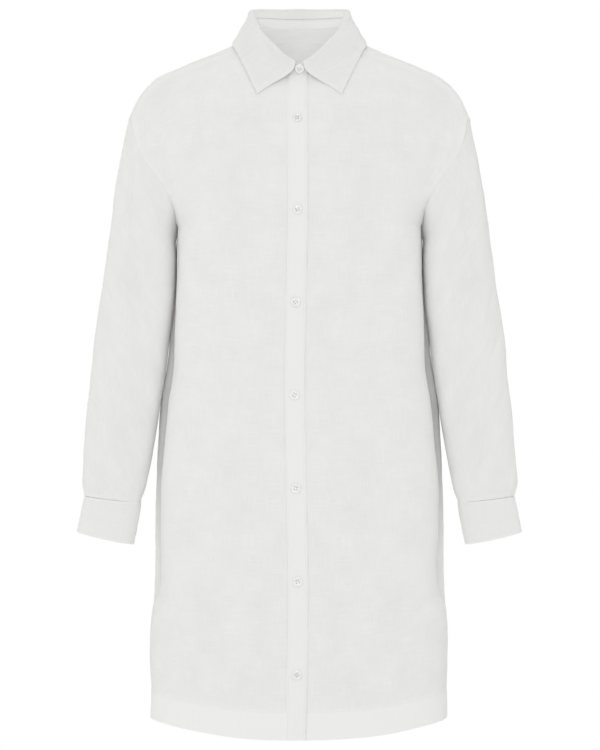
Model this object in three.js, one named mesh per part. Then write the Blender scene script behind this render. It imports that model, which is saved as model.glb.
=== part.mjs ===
import * as THREE from 'three';

// Shirt dress in woven linen, in its worn form. Millimetres, +Z up, the front towards -Y,
// the wearer's right side at -X. The origin is the centre of the neck, at the height where
// the collar meets the shoulders. Each piece is a thin wall: its outer face is worked out
// first, and its inner face lies one wall further in.

// Driving sizes
const clothWall = 1.2;
const pliedWall = 2;
const seamGap = 0.3;
const neckRadius = 63;
const neckFrontZ = -44;
const neckRise = 80;
const neckScoop = 6.6;
const roundness = 2.3;
const sleeveRoundness = 2.15;
const tuckAngle = 1.45;
const armMidY = 6;
const neckSeamAngle = 1.26;
const ridgeShare = 0.55;

const placketHalf = 12.5;
const placketRise = 1.2;
const underSink = 1.1;
const placketTopDrop = 1.6;
const underReach = 14.2;
const underStart = -10.5;
const collarGapHalf = 5.2;
const standLapOut = 1.2;
const standLapIn = 1.3;
const standLapFade = 40;

const buttonRadius = 6.25;
const buttonThick = 2.6;
const buttonSegments = 16;
const firstButtonZ = -104;
const buttonPitch = 118.5;
const frontButtons = 7;
const standButtonZ = -35;

const cuffSegments = 16;
const cuffLapSegments = 1;
const cuffSpiral = 2.6;
const cuffOpening = -1.8;
const ventHalfAngle = 0.14;
const ventFrom = 0.83;
const ventTo = 0.985;
const sleeveBlend = 0.14;

const neckColumns = 4;
const shoulderColumns = 8;
const yokeNeckColumns = 12;
const yokeRows = 4;
const lowerRows = [
  -898, -862, -820, -775, -740, -721, -700, -650, -590, -535, -480, -430, -375, -315, -262,
];
const frontUpperRows = [-262, -235, -208, -178, -148, -115, -80, -44];
const backUpperRows = [-262, -228, -190, -150, -110, -68, -25, 21];
const slitTopZ = -721;
const sleeveRows = 14;

// Small sizes of the shaping
const tuckShare = 0.2;
const creaseSoftness = 9;
const collarBulge = 2.2;
const collarLean = 0.6;
const cuffLift = 2 * seamGap;
const sameWay = 0.3;

// Rows of numbers under one line of names, as a list of named rows.
const table = (names, rows) => rows.map(row => (
  Object.fromEntries(names.split(' ').map((name, i) => [name, row[i]]))
));

// Torso sections from the hem up to the underarm. The front lobe is the lit front panel and
// the back lobe stands out behind it; tuck is how far the side seam lies inside the front
// lobe, and rise lifts the row at the side (by the share riseBy of its length).
const torsoNames =
  'z frontY backY frontHalf backHalf frontLobe backLobe tuck frontSeam backSeam rise riseBy';
const torsoRows = table(torsoNames, [
  [-898, -146, 137, 194.5, 194.5, -14, 28, 1, 3, 14, 13, 0.62],
  [-862, -145.6, 136.4, 194, 194.2, -14, 28, 1, 3, 13, 10, 0.62],
  [-800, -145, 135, 196, 196, -15, 27, 1, 2, 11, 4, 0.7],
  [-740, -144, 133.5, 192, 193.5, -19, 24, 2, -2, 5, 0, 1],
  [-721, -143.5, 133, 184, 192.5, -22, 24, 2.5, -6, -6, 0, 1],
  [-700, -143, 132, 180, 192.5, -24, 24, 3, -10, -10, 0, 1],
  [-630, -141, 130, 181.5, 191.8, -24, 24, 3, -12, -12, 0, 1],
  [-574, -139.5, 128, 181.5, 190, -24, 24, 3, -12, -12, 0, 1],
  [-520, -138, 126, 176, 188.5, -24, 24, 3, -12, -12, 0, 1],
  [-470, -136.5, 123.5, 171, 185.5, -24, 24, 3, -12, -12, 0, 1],
  [-425, -135, 122, 164, 177.5, -24, 24, 3, -12, -12, 0, 1],
  [-375, -133, 121, 163, 171.5, -24, 27, 3, -11, -11, 0, 1],
  [-315, -131, 120.5, 160, 165.5, -23, 33, 3, -7, -7, 5, 1],
  [-262, -129, 121, 160, 163, -18, 34, 0, 6, 6, 17, 1],
]);

// Rows above the underarm. neckZ is the row's height under the side of the neck, and the
// row ends on the armhole at this turn; torsoHalf is where the chest rolls into the crease
// beside the arm, and capReach how far the arm's roundness carries in from the armhole.
const frontChestRows = table('z y neckZ torsoHalf rollY turn capReach', [
  [-235, -126.5, -234, 164, 16, 0.88, 24],
  [-205, -124, -203, 168, 24, 0.74, 30],
  [-165, -117.5, -160, 176, 28, 0.57, 44],
  [-125, -106, -114, 188, 26, 0.4, 56],
  [-85, -88.5, -62, 202, 20, 0.26, 62],
]);
const backChestRows = table('z y neckZ torsoHalf rollY turn capReach', [
  [-228, 121.5, -227, 165, 16, 0.88, 24],
  [-190, 122, -189, 170, 28, 0.74, 30],
  [-145, 122, -146, 178, 36, 0.58, 44],
  [-98, 120.5, -102, 190, 40, 0.43, 56],
  [-48, 115.5, -53, 202, 40, 0.31, 62],
]);

// The overlapping front edge wanders a little: its middle line in X by height.
const placketRows = table('z centre', [
  [-898, -5.2],
  [-815, -3.4],
  [-700, -2.2],
  [-578, -4.6],
  [-459, -6.4],
  [-341, -5],
  [-222, -2.6],
  [-104, -3],
  [-44, -2.5],
]);

// Half of the armhole from its top (turn 0) to the underarm (turn 1). depth is the
// distance in front of, or behind, the middle of the arm.
const armholeRows = table('turn x z depth', [
  [0, 227, -94, 0],
  [0.14, 221, -98, 33],
  [0.22, 218, -111, 48],
  [0.33, 213, -132, 63],
  [0.45, 200, -156, 73],
  [0.54, 187, -174, 75],
  [0.63, 175, -191, 70],
  [0.735, 166.5, -210, 55],
  [0.88, 163, -233, 27],
  [1, 162, -245, 0],
]);

// Seam of the yoke to the fronts, from the neck out, and of the yoke to the back.
const frontSeamRows = table('x y z', [
  [59.98, -19.27, 16.46],
  [88, -29, -6],
  [136, -33, -23],
  [180, -32, -43],
  [207, -30, -65],
  [221, -27, -98],
]);
const backSeamRows = table('x y z', [
  [0, 97, 21],
  [40, 97, 19],
  [70, 97, 9],
  [100, 96, -7],
  [140, 91, -26],
  [180, 80, -55],
  [205, 66, -82],
  [218, 54, -111],
]);

// Crest of the yoke: the shoulder ridge from the armhole (share 0), then behind the neck.
const crestRows = table('share x y z', [
  [0, 227, 6, -94],
  [0.1, 216, 7, -71],
  [0.2, 198, 8, -47],
  [0.3, 174, 8, -33.5],
  [0.4, 147, 8, -20.5],
  [0.5, 112, 8, -6],
  [0.571, 84, 8, 4.5],
  [0.643, 72, 30, 14],
  [0.714, 62, 55, 22],
  [0.857, 33, 74, 29.5],
  [1, 0, 79, 31],
]);

// Collar fold by its angle round the neck from the centre front, and the share of the
// height between the neck seam and the fold that belongs to the stand.
const foldRows = table('angle radius z standShare', [
  [0, 62, -26, 0.8],
  [17.5, 61.5, -17, 0.74],
  [37, 61, 1.5, 0.66],
  [61, 61, 21.7, 0.58],
  [78, 62, 40.5, 0.54],
  [95, 63.5, 50.5, 0.52],
  [115, 62.5, 55, 0.51],
  [135, 61, 57.5, 0.5],
  [180, 58.5, 60.5, 0.5],
]);
const foldRadius = 2.8;

// Outer edge of the collar leaf from its point (share 0) to the centre back.
const leafRows = table('share x y z', [
  [0, 54.5, -95, -71.4],
  [0.19, 71.5, -70, -33],
  [0.34, 82.5, -42, -9],
  [0.43, 88.5, -21, 1.6],
  [0.53, 86.5, 8, 7],
  [0.73, 70.5, 60, 21],
  [0.87, 37, 80, 28.5],
  [1, 0, 86, 30.5],
]);

// Sleeve rings from the armhole (along 0) to the cuff seam (along 1): the outer and the
// inner end of each ring, its middle in Y and its half depth in Y.
const sleeveRings = table('along outerX outerZ innerX innerZ midY depth', [
  [0, 227, -94, 162, -245, 6, 75],
  [0.1, 238, -152, 165, -259, 4, 76],
  [0.19, 246, -205, 163.5, -277, 2, 76],
  [0.28, 253.5, -258, 164, -302, 0, 73],
  [0.38, 261, -312, 166, -338, -1, 68],
  [0.49, 269, -366, 172, -382, -2, 64],
  [0.61, 275, -421, 178, -433, -6, 59],
  [0.74, 281, -479, 186.5, -488, -11, 55],
  [0.87, 285, -536, 195.5, -543, -16, 50],
  [0.95, 286.5, -572, 202.5, -579, -20, 45],
  [1, 284, -592.5, 209.5, -601, -23, 37],
]);
const cuffRings = table('along outerX outerZ innerX innerZ midY depth', [
  [0, 284, -593, 209.5, -601.5, -23, 37],
  [0.5, 288.5, -616, 214, -629, -25.5, 36],
  [1, 293.3, -640, 219.5, -656.5, -28, 35],
]);

const linen = { color: 0xe8e8e6, roughness: 0.9, metalness: 0 };
const plied = { color: 0xecece9, roughness: 0.88, metalness: 0 };
const shell = { color: 0xdcdad4, roughness: 0.35, metalness: 0 };

const mix = (a, b, share) => a + (b - a) * share;
const vector = (x, y, z) => new THREE.Vector3(x, y, z);
const between = (a, b, share) => a.clone().lerp(b, share);
const mirrored = point => vector(-point.x, point.y, point.z);

// A smooth curve through one column of a table, read against another of its columns.
function column(rows, at, name) {
  const keys = rows.map(row => row[at]);
  const values = rows.map(row => row[name]);
  const last = keys.length - 1;
  const slopes = keys.map((_, i) => {
    const before = Math.max(i - 1, 0);
    const after = Math.min(i + 1, last);
    return (values[after] - values[before]) / (keys[after] - keys[before]);
  });
  return key => {
    let i = 0;
    while (i < last - 1 && key > keys[i + 1]) i += 1;
    const span = keys[i + 1] - keys[i];
    const t = (key - keys[i]) / span;
    return hermite(values[i], values[i + 1], slopes[i] * span, slopes[i + 1] * span, t);
  };
}

function hermite(start, end, startSlope, endSlope, t) {
  const ease = t * t * (3 - 2 * t);
  return mix(start, end, ease) + startSlope * t * (1 - t) ** 2 - endSlope * t * t * (1 - t);
}

// All columns of a table at one key, as a function.
function reader(rows, at) {
  const names = Object.keys(rows[0]).filter(name => name !== at);
  const curves = names.map(name => column(rows, at, name));
  return key => Object.fromEntries([[at, key], ...names.map((name, i) => [name, curves[i](key)])]);
}

// The same curve with its points spread evenly along it.
function evenly(curve, steps = 160) {
  const points = Array.from({ length: steps + 1 }, (_, i) => curve(i / steps));
  const lengths = [0];
  for (let i = 1; i <= steps; i += 1) {
    lengths.push(lengths[i - 1] + points[i].distanceTo(points[i - 1]));
  }
  return share => {
    const target = share * lengths[steps];
    let i = 0;
    while (i < steps - 1 && lengths[i + 1] < target) i += 1;
    return between(points[i], points[i + 1], (target - lengths[i]) / (lengths[i + 1] - lengths[i]));
  };
}

// A surface through rows of curves, each at its own height.
function loft(rows) {
  return (share, height) => {
    const points = rows.map(row => {
      const { x, y, z } = row.curve(share);
      return { height: row.height, x, y, z };
    });
    return vector(...['x', 'y', 'z'].map(name => column(points, 'height', name)(height)));
  };
}

const placketCentre = column(placketRows, 'z', 'centre');

// Neck seam: a circle in plan that rises from the centre front to the nape.
function neckPoint(angle, radius = neckRadius) {
  const rise = 1 - Math.abs(Math.cos(angle / 2)) ** neckScoop;
  return vector(radius * Math.sin(angle), -radius * Math.cos(angle), neckFrontZ + neckRise * rise);
}

function armholePoint(turn, side) {
  const row = reader(armholeRows, 'turn')(turn);
  return vector(row.x, armMidY + side * row.depth, row.z);
}

// One half section of the torso below the underarm, from the centre to the side seam.
function torsoCurve(row, side, innerX) {
  const half = side < 0 ? row.frontHalf : row.backHalf;
  const centreY = side < 0 ? row.frontY : row.backY;
  const lobeY = side < 0 ? row.frontLobe : row.backLobe;
  const seamY = side < 0 ? row.frontSeam : row.backSeam;
  const tuck = row.tuck + half - row.frontHalf;
  const start = Math.asin((innerX / half) ** (roundness / 2));
  return evenly(t => {
    const lift = row.rise * Math.sin(Math.min(t / row.riseBy, 1) * Math.PI / 2) ** 2;
    if (t < 1 - tuckShare) {
      const angle = mix(start, Math.PI / 2, t / (1 - tuckShare));
      const y = mix(lobeY, centreY, Math.cos(angle) ** (2 / roundness));
      return vector(half * Math.sin(angle) ** (2 / roundness), y, row.z + lift);
    }
    const turn = tuckAngle * (t - 1 + tuckShare) / tuckShare;
    const x = half - tuck * (1 - Math.cos(turn)) / (1 - Math.cos(tuckAngle));
    return vector(x, mix(lobeY, seamY, Math.sin(turn) / Math.sin(tuckAngle)), row.z + lift);
  });
}

// The larger of two depths, with a soft crease where they cross.
function softMax(a, b, softness) {
  const near = Math.max(softness - Math.abs(a - b), 0) / softness;
  return Math.max(a, b) + near * near * softness / 4;
}

// Height of a row above the underarm, by distance from the centre.
function rowHeights(row, side) {
  const edge = armholePoint(row.turn, side);
  return column([
    { x: 0, z: row.z }, { x: neckRadius, z: row.neckZ }, { x: edge.x, z: edge.z },
  ], 'x', 'z');
}

// One half row above the underarm: the chest or back, the crease, and the arm's roundness.
function chestCurve(row, side, innerX) {
  const edge = armholePoint(row.turn, side);
  const edgeDepth = side * edge.y;
  const heights = rowHeights(row, side);
  const depthAt = x => {
    const roll = Math.max(1 - (x / row.torsoHalf) ** roundness, 0) ** (1 / roundness);
    const chest = row.rollY + (side * row.y - row.rollY) * roll;
    const cap = edgeDepth * (1 - ((edge.x - x) / row.capReach) ** 2);
    return softMax(chest, cap, creaseSoftness);
  };
  const error = edgeDepth - depthAt(edge.x);
  return evenly(t => {
    const x = mix(innerX, edge.x, Math.sin(t * Math.PI / 2));
    return vector(x, side * (depthAt(x) + error * (x / edge.x) ** 8), heights(x));
  });
}

// The top row of a front: the neck seam, then the yoke seam, with its corner between.
function frontTopCurve(innerX) {
  const start = Math.asin(innerX / neckRadius);
  const neck = evenly(t => neckPoint(mix(start, neckSeamAngle, t)));
  const seamAt = reader(frontSeamRows, 'x');
  const seam = evenly(t => {
    const row = seamAt(mix(frontSeamRows[0].x, frontSeamRows.at(-1).x, Math.sin(t * Math.PI / 2)));
    return vector(row.x, row.y, row.z);
  });
  const corner = neckColumns / (neckColumns + shoulderColumns);
  return share => (share < corner ? neck(share / corner) : seam((share - corner) / (1 - corner)));
}

function backTopCurve() {
  const seamAt = reader(backSeamRows, 'x');
  return evenly(t => {
    const row = seamAt(backSeamRows.at(-1).x * Math.sin(t * Math.PI / 2));
    return vector(row.x, row.y, row.z);
  });
}

// A panel of the body: side -1 is a front, whose inner edge is given by height, and 1 the back.
function panelSurface(side, innerAt) {
  const chest = side < 0 ? frontChestRows : backChestRows;
  const top = side < 0 ? frontTopCurve(innerAt(neckFrontZ)) : backTopCurve();
  const topZ = side < 0 ? neckFrontZ : backSeamRows[0].z;
  return loft([
    ...torsoRows.map(row => ({ height: row.z, curve: torsoCurve(row, side, innerAt(row.z)) })),
    ...chest.map(row => ({ height: row.z, curve: chestCurve(row, side, innerAt(row.z)) })),
    { height: topZ, curve: top },
  ]);
}

// The strip beside the centre front, read by distance from the middle of the placket.
const superDepth = (x, half) => (1 - (Math.abs(x) / half) ** roundness) ** (1 / roundness);
const centreStrip = loft([
  ...torsoRows.map(row => ({
    height: row.z,
    curve: offset => {
      const x = placketCentre(row.z) + offset;
      return vector(x, mix(row.frontLobe, row.frontY, superDepth(x, row.frontHalf)), row.z);
    },
  })),
  ...frontChestRows.map(row => ({
    height: row.z,
    curve: offset => {
      const x = placketCentre(row.z) + offset;
      const y = mix(-row.rollY, row.y, superDepth(x, row.torsoHalf));
      return vector(x, y, rowHeights(row, -1)(Math.abs(x)));
    },
  })),
  {
    height: neckFrontZ,
    curve: offset => neckPoint(Math.asin((placketCentre(neckFrontZ) + offset) / neckRadius)),
  },
]);

// A grid of points: rows from the hem up, columns from the centre out.
function panelGrid(surface, heights, columns) {
  return heights.map(height => columns.map(share => surface(share, height)));
}

const shares = count => Array.from({ length: count + 1 }, (_, i) => i / count);

// Face directions of a grid, one for each point, pointing away from the inside.
function gridNormals(grid, closed) {
  const rows = grid.length;
  const columns = grid[0].length;
  return grid.map((row, r) => row.map((_, c) => {
    const up = grid[Math.min(r + 1, rows - 1)][c].clone().sub(grid[Math.max(r - 1, 0)][c]);
    const next = closed ? (c + 1) % columns : Math.min(c + 1, columns - 1);
    const last = closed ? (c + columns - 1) % columns : Math.max(c - 1, 0);
    return grid[r][next].clone().sub(grid[r][last]).cross(up).normalize();
  }));
}

// A closed wall on a grid. facing is -1 where the grid's own direction points inwards;
// normals, where they are given, already point outwards.
function wall(grid, thickness, { closed = false, facing = 1, normals } = {}) {
  const faced = row => row.map(normal => normal.multiplyScalar(facing));
  const own = () => gridNormals(grid, closed).map(faced);
  const outwards = normals || own();
  const rows = grid.length;
  const columns = grid[0].length;
  const inside = grid.map((row, r) => row.map((point, c) => (
    point.clone().addScaledVector(outwards[r][c], -thickness)
  )));
  const positions = [...grid.flat(), ...inside.flat()].flatMap(point => point.toArray());
  const index = [];
  const outer = (r, c) => r * columns + (c % columns);
  const inner = (r, c) => rows * columns + outer(r, c);
  const quad = (a, b, c, d) => {
    if (facing > 0) index.push(a, b, c, a, c, d);
    else index.push(a, c, b, a, d, c);
  };
  const spans = closed ? columns : columns - 1;
  for (let r = 0; r < rows - 1; r += 1) {
    for (let c = 0; c < spans; c += 1) {
      quad(outer(r, c), outer(r, c + 1), outer(r + 1, c + 1), outer(r + 1, c));
      quad(inner(r, c), inner(r + 1, c), inner(r + 1, c + 1), inner(r, c + 1));
    }
  }
  for (let c = 0; c < spans; c += 1) {
    quad(outer(0, c), inner(0, c), inner(0, c + 1), outer(0, c + 1));
    quad(outer(rows - 1, c), outer(rows - 1, c + 1), inner(rows - 1, c + 1), inner(rows - 1, c));
  }
  if (!closed) {
    for (let r = 0; r < rows - 1; r += 1) {
      quad(outer(r, 0), outer(r + 1, 0), inner(r + 1, 0), inner(r, 0));
      const end = columns - 1;
      quad(outer(r, end), inner(r, end), inner(r + 1, end), outer(r + 1, end));
    }
  }
  const geometry = new THREE.BufferGeometry();
  geometry.setAttribute('position', new THREE.Float32BufferAttribute(positions, 3));
  geometry.setIndex(index);
  return geometry;
}

// Moves one edge point of a piece back from its seam, towards its neighbour in the piece.
function easeBack(edge, neighbour, distance = seamGap / 2) {
  edge.addScaledVector(neighbour.clone().sub(edge).normalize(), distance);
}

// Two edge points that are sewn together meet halfway and then stand a seam gap apart.
function sew(edgeA, neighbourA, edgeB, neighbourB) {
  const meeting = between(edgeA, edgeB, 0.5);
  edgeA.copy(meeting);
  edgeB.copy(meeting);
  easeBack(edgeA, neighbourA);
  easeBack(edgeB, neighbourB);
}

// Gives two face directions along a seam their mean, so the walls keep their gap inside.
function mitre(a, b) {
  const mean = a.clone().add(b).normalize();
  a.copy(mean);
  b.copy(mean);
}

// The four large pieces of the body, as grids of their outer faces. Columns of a front run
// from its centre to its side; the back and the yoke run from the wearer's left to right.
const frontColumns = shares(neckColumns + shoulderColumns);
const backColumns = shares(shoulderColumns + yokeNeckColumns / 2);
const topOfSlit = lowerRows.indexOf(slitTopZ);
const frontHeights = [...lowerRows, ...frontUpperRows.slice(1)];
const backHeights = [...lowerRows, ...backUpperRows.slice(1)];
const underarm = lowerRows.length - 1;

const rightInner = z => placketHalf + seamGap - placketCentre(z);
const leftInner = z => placketCentre(z) + underReach + seamGap;
const rightFront = panelGrid(panelSurface(-1, rightInner), frontHeights, frontColumns)
  .map(row => row.map(mirrored));
const leftFront = panelGrid(panelSurface(-1, leftInner), frontHeights, frontColumns);
const backHalf = panelGrid(panelSurface(1, () => 0), backHeights, backColumns);
const back = backHalf.map(row => [...row.slice(1).reverse(), ...row.map(mirrored)]);

const lastColumn = frontColumns.length - 1;
const lastBack = back[0].length - 1;

const crestAt = reader(crestRows, 'share');
function yokeColumn(backPoint, crest, innerPoint) {
  return shares(yokeRows).map(w => {
    const toBack = (w - ridgeShare) * (w - 1) / ridgeShare;
    const toCrest = w * (w - 1) / (ridgeShare * (ridgeShare - 1));
    const toInner = w * (w - ridgeShare) / (1 - ridgeShare);
    return backPoint.clone().multiplyScalar(toBack)
      .addScaledVector(crest, toCrest).addScaledVector(innerPoint, toInner);
  });
}
function yokeGrid() {
  const topBack = back.at(-1);
  const half = backColumns.length - 1;
  const columns = topBack.map((point, k) => {
    const onLeft = k < half;
    const fromArm = onLeft ? k : 2 * half - k;
    const row = crestAt(fromArm / half);
    const crest = vector(onLeft ? row.x : -row.x, row.y, row.z);
    const front = onLeft ? leftFront : rightFront;
    const pastShoulder = (fromArm - shoulderColumns) / (half - shoulderColumns);
    const angle = mix(neckSeamAngle, Math.PI, pastShoulder);
    const neck = neckPoint(onLeft ? angle : -angle);
    const inner = pastShoulder > 0 ? neck : front.at(-1)[lastColumn - fromArm];
    return yokeColumn(point, crest, inner);
  });
  return shares(yokeRows).map((_, r) => columns.map(points => points[r]));
}
const yoke = yokeGrid();

// Seams: the sides, the yoke to the fronts and the yoke to the back. Each is two edge points
// with the steps to their neighbours: grid, row, column, row step, column step.
const seams = [];
for (let r = topOfSlit; r <= underarm; r += 1) {
  seams.push([leftFront, r, lastColumn, 0, -1, back, r, 0, 0, 1]);
  seams.push([rightFront, r, lastColumn, 0, -1, back, r, lastBack, 0, -1]);
}
for (let j = neckColumns; j <= lastColumn; j += 1) {
  const fromArm = lastColumn - j;
  seams.push([leftFront, leftFront.length - 1, j, -1, 0, yoke, yokeRows, fromArm, -1, 0]);
  seams.push([rightFront, rightFront.length - 1, j, -1, 0, yoke, yokeRows, lastBack - fromArm, -1, 0]);
}
for (let k = 0; k <= lastBack; k += 1) {
  seams.push([back, back.length - 1, k, -1, 0, yoke, 0, k, 1, 0]);
}
for (const [a, ar, ac, adr, adc, b, br, bc, bdr, bdc] of seams) {
  sew(a[ar][ac], a[ar + adr][ac + adc], b[br][bc], b[br + bdr][bc + bdc]);
}
const bodyGrids = [leftFront, rightFront, back, yoke];
const bodyNormals = new Map(bodyGrids.map(grid => [grid, gridNormals(grid, false)]));
bodyNormals.get(rightFront).flat().forEach(normal => normal.negate());
for (const [a, ar, ac, , , b, br, bc] of seams) {
  mitre(bodyNormals.get(a)[ar][ac], bodyNormals.get(b)[br][bc]);
}

// The wearer's left armhole as the body's own edge, from the underarm up the front and down
// the back, read from the body's points or from its face directions.
function armholeEdge(front, behind, over) {
  const top = front.length - 1;
  const edge = [between(front[underarm][lastColumn], behind[underarm][0], 0.5)];
  for (let r = underarm + 1; r < top; r += 1) edge.push(front[r][lastColumn].clone());
  edge.push(between(front[top][lastColumn], over[yokeRows][0], 0.5));
  for (let r = yokeRows - 1; r > 0; r -= 1) edge.push(over[r][0].clone());
  edge.push(between(behind[top][0], over[0][0], 0.5));
  for (let r = top - 1; r > underarm; r -= 1) edge.push(behind[r][0].clone());
  return edge;
}

// A point of a sleeve or cuff ring; angle 0 is its outer end and the front is at a quarter turn.
function ringPoint(ring, angle, grow = 0) {
  const cosine = Math.sign(Math.cos(angle)) * Math.abs(Math.cos(angle)) ** (2 / sleeveRoundness);
  const sine = Math.sign(Math.sin(angle)) * Math.abs(Math.sin(angle)) ** (2 / sleeveRoundness);
  const halfX = (ring.outerX - ring.innerX) / 2;
  const halfZ = (ring.outerZ - ring.innerZ) / 2;
  const scale = 1 + grow / Math.hypot(halfX, halfZ);
  return vector(
    (ring.outerX + ring.innerX) / 2 + halfX * cosine * scale,
    ring.midY - (ring.depth + grow) * sine,
    (ring.outerZ + ring.innerZ) / 2 + halfZ * cosine * scale,
  );
}

const sleeveRing = reader(sleeveRings, 'along');
const cuffRing = reader(cuffRings, 'along');
const armholeOut = vector(0.92, 0, -0.4).normalize();

function ringAngle(ring, point) {
  const across = vector(ring.outerX - ring.innerX, 0, ring.outerZ - ring.innerZ).divideScalar(2);
  const middle = vector((ring.outerX + ring.innerX) / 2, ring.midY, (ring.outerZ + ring.innerZ) / 2);
  const from = point.clone().sub(middle);
  return Math.atan2(-from.y / ring.depth, from.dot(across) / across.lengthSq());
}

// The wearer's left sleeve: its first ring is the armhole, moved out by the seam gap.
function sleeveGrid(edge) {
  const first = sleeveRing(0);
  const angles = edge.map(point => ringAngle(first, point));
  return shares(sleeveRows).map(along => {
    const ring = sleeveRing(along);
    const fade = Math.max(1 - along / sleeveBlend, 0) ** 2;
    return angles.map((angle, i) => {
      const shift = edge[i].clone().sub(ringPoint(first, angle)).multiplyScalar(fade);
      const point = ringPoint(ring, angle).add(shift);
      return along === 0 ? point.addScaledVector(armholeOut, seamGap) : point;
    });
  });
}

// The sleeve's face directions; at its head they follow the body's, so both walls match.
function sleeveNormals(grid, bodyEdge) {
  const normals = gridNormals(grid, true).map(row => row.map(normal => normal.negate()));
  bodyEdge.forEach((normal, i) => {
    if (normal.dot(normals[0][i]) > sameWay) normals[0][i].copy(normal).normalize();
  });
  return normals;
}

// A cuff wraps once round the wrist and laps over itself at the back.
const cuffTurn = 2 * Math.PI / cuffSegments;
function cuffGrid() {
  const segments = cuffSegments + cuffLapSegments;
  return shares(2).map(along => {
    const ring = cuffRing(along);
    return shares(segments).map(share => {
      const angle = cuffOpening + share * segments * cuffTurn;
      return ringPoint(ring, angle, mix(-cuffSpiral / 2, cuffSpiral / 2, share) + cuffLift);
    });
  });
}

// The binding of the sleeve's opening lies on the sleeve, above the cuff's lap.
function ventGrid() {
  const centre = cuffOpening + cuffLapSegments * cuffTurn / 2;
  return shares(4).map(share => {
    const ring = sleeveRing(mix(ventFrom, ventTo, share));
    const lift = clothWall + 2 * seamGap;
    return [-1, 0, 1].map(step => ringPoint(ring, centre + step * ventHalfAngle, lift));
  });
}

// Angle round the neck from the centre front, increasing through the wearer's right side.
function neckAngle(point) {
  const angle = Math.atan2(-point.x, -point.y);
  return angle < 0 ? angle + 2 * Math.PI : angle;
}
const angleOfX = x => -Math.asin(x / neckRadius);
const foldAt = reader(foldRows, 'angle');
const degrees = angle => Math.min(Math.abs(angle), Math.abs(2 * Math.PI - angle)) * 180 / Math.PI;

// The stand's ends lap at the centre front: its right end stands out and its left end in.
function standLap(angle) {
  const fromStart = Math.max(1 - angle * 180 / Math.PI / standLapFade, 0);
  const fromEnd = Math.max(1 - (2 * Math.PI - angle) * 180 / Math.PI / standLapFade, 0);
  return Math.min(fromStart, 1) * standLapOut - Math.min(fromEnd, 1) * standLapIn;
}

const frontTop = front => front.at(-1).slice(0, neckColumns);
const cornerPoint = (front, k) => between(front.at(-1)[neckColumns], yoke[yokeRows][k], 0.5);
const neckEdge = [
  ...frontTop(rightFront),
  cornerPoint(rightFront, lastBack - shoulderColumns),
  ...yoke[yokeRows].slice(shoulderColumns + 1, lastBack - shoulderColumns).reverse(),
  cornerPoint(leftFront, shoulderColumns),
  ...frontTop(leftFront).reverse(),
];
const topCentre = placketCentre(neckFrontZ);
const neckAngles = neckEdge.map(neckAngle);
const startAngle = angleOfX(-collarGapHalf);
const collarAngles = [startAngle, ...neckAngles, 2 * Math.PI - startAngle];
const standAngles = [
  angleOfX(topCentre + placketHalf),
  ...collarAngles,
  2 * Math.PI + startAngle,
  2 * Math.PI + angleOfX(topCentre + underStart),
];

function ringAtNeck(angle, radius, z) {
  return vector(-radius * Math.sin(angle), -radius * Math.cos(angle), z);
}
function standTopZ(angle) {
  const fold = foldAt(degrees(angle));
  return mix(neckPoint(angle).z, fold.z, fold.standShare);
}
function standGrid() {
  return shares(2).map(up => standAngles.map(angle => {
    const fold = foldAt(degrees(angle));
    const radius = mix(neckRadius, fold.radius, up * fold.standShare) + standLap(angle);
    return ringAtNeck(angle, radius, mix(neckPoint(angle).z + seamGap, standTopZ(angle), up));
  }));
}

// The collar rises from the stand inside the neck, rolls over the fold and lies outside.
function collarGrid() {
  const leafAt = reader(leafRows, 'share');
  const half = (collarAngles.length - 1) / 2;
  const columns = collarAngles.map((angle, k) => {
    const onRight = k <= half;
    const share = (onRight ? k : 2 * half - k) / half;
    const row = leafAt(share);
    const leaf = vector(onRight ? -row.x : row.x, row.y, row.z);
    const fold = foldAt(degrees(angle));
    const lap = standLap(angle);
    const joinRadius = mix(neckRadius, fold.radius, fold.standShare) + lap - pliedWall;
    const centre = fold.radius + lap + foldRadius - pliedWall;
    const top = fold.z - foldRadius;
    const roll = [Math.PI, 2 * Math.PI / 3, Math.PI / 3, 0].map(turn => (
      ringAtNeck(angle, centre + foldRadius * Math.cos(turn), top + foldRadius * Math.sin(turn))
    ));
    const bulge = vector(-Math.sin(angle), -Math.cos(angle), collarLean).multiplyScalar(collarBulge);
    const middle = between(roll[3], leaf, 0.5).add(bulge);
    return [ringAtNeck(angle, joinRadius, standTopZ(angle) + seamGap), ...roll, middle, leaf];
  });
  return columns[0].map((_, r) => columns.map(points => points[r]));
}

// A strip of the front opening, its columns at distances from the placket's middle line.
const placketHeights = [...frontHeights.slice(0, -1), neckFrontZ - placketTopDrop];
function placketGrid(from, to, columns, sink) {
  const offsets = shares(columns).map(share => mix(from, to, share));
  return placketHeights.map(height => offsets.map(offset => {
    const point = centreStrip(offset, height);
    const above = centreStrip(offset, Math.min(height + 1, neckFrontZ));
    const below = centreStrip(offset, Math.max(height - 1, torsoRows[0].z));
    const slope = above.sub(below).normalize();
    return point.add(vector(0, slope.z, -slope.y).multiplyScalar(sink));
  }));
}

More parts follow.
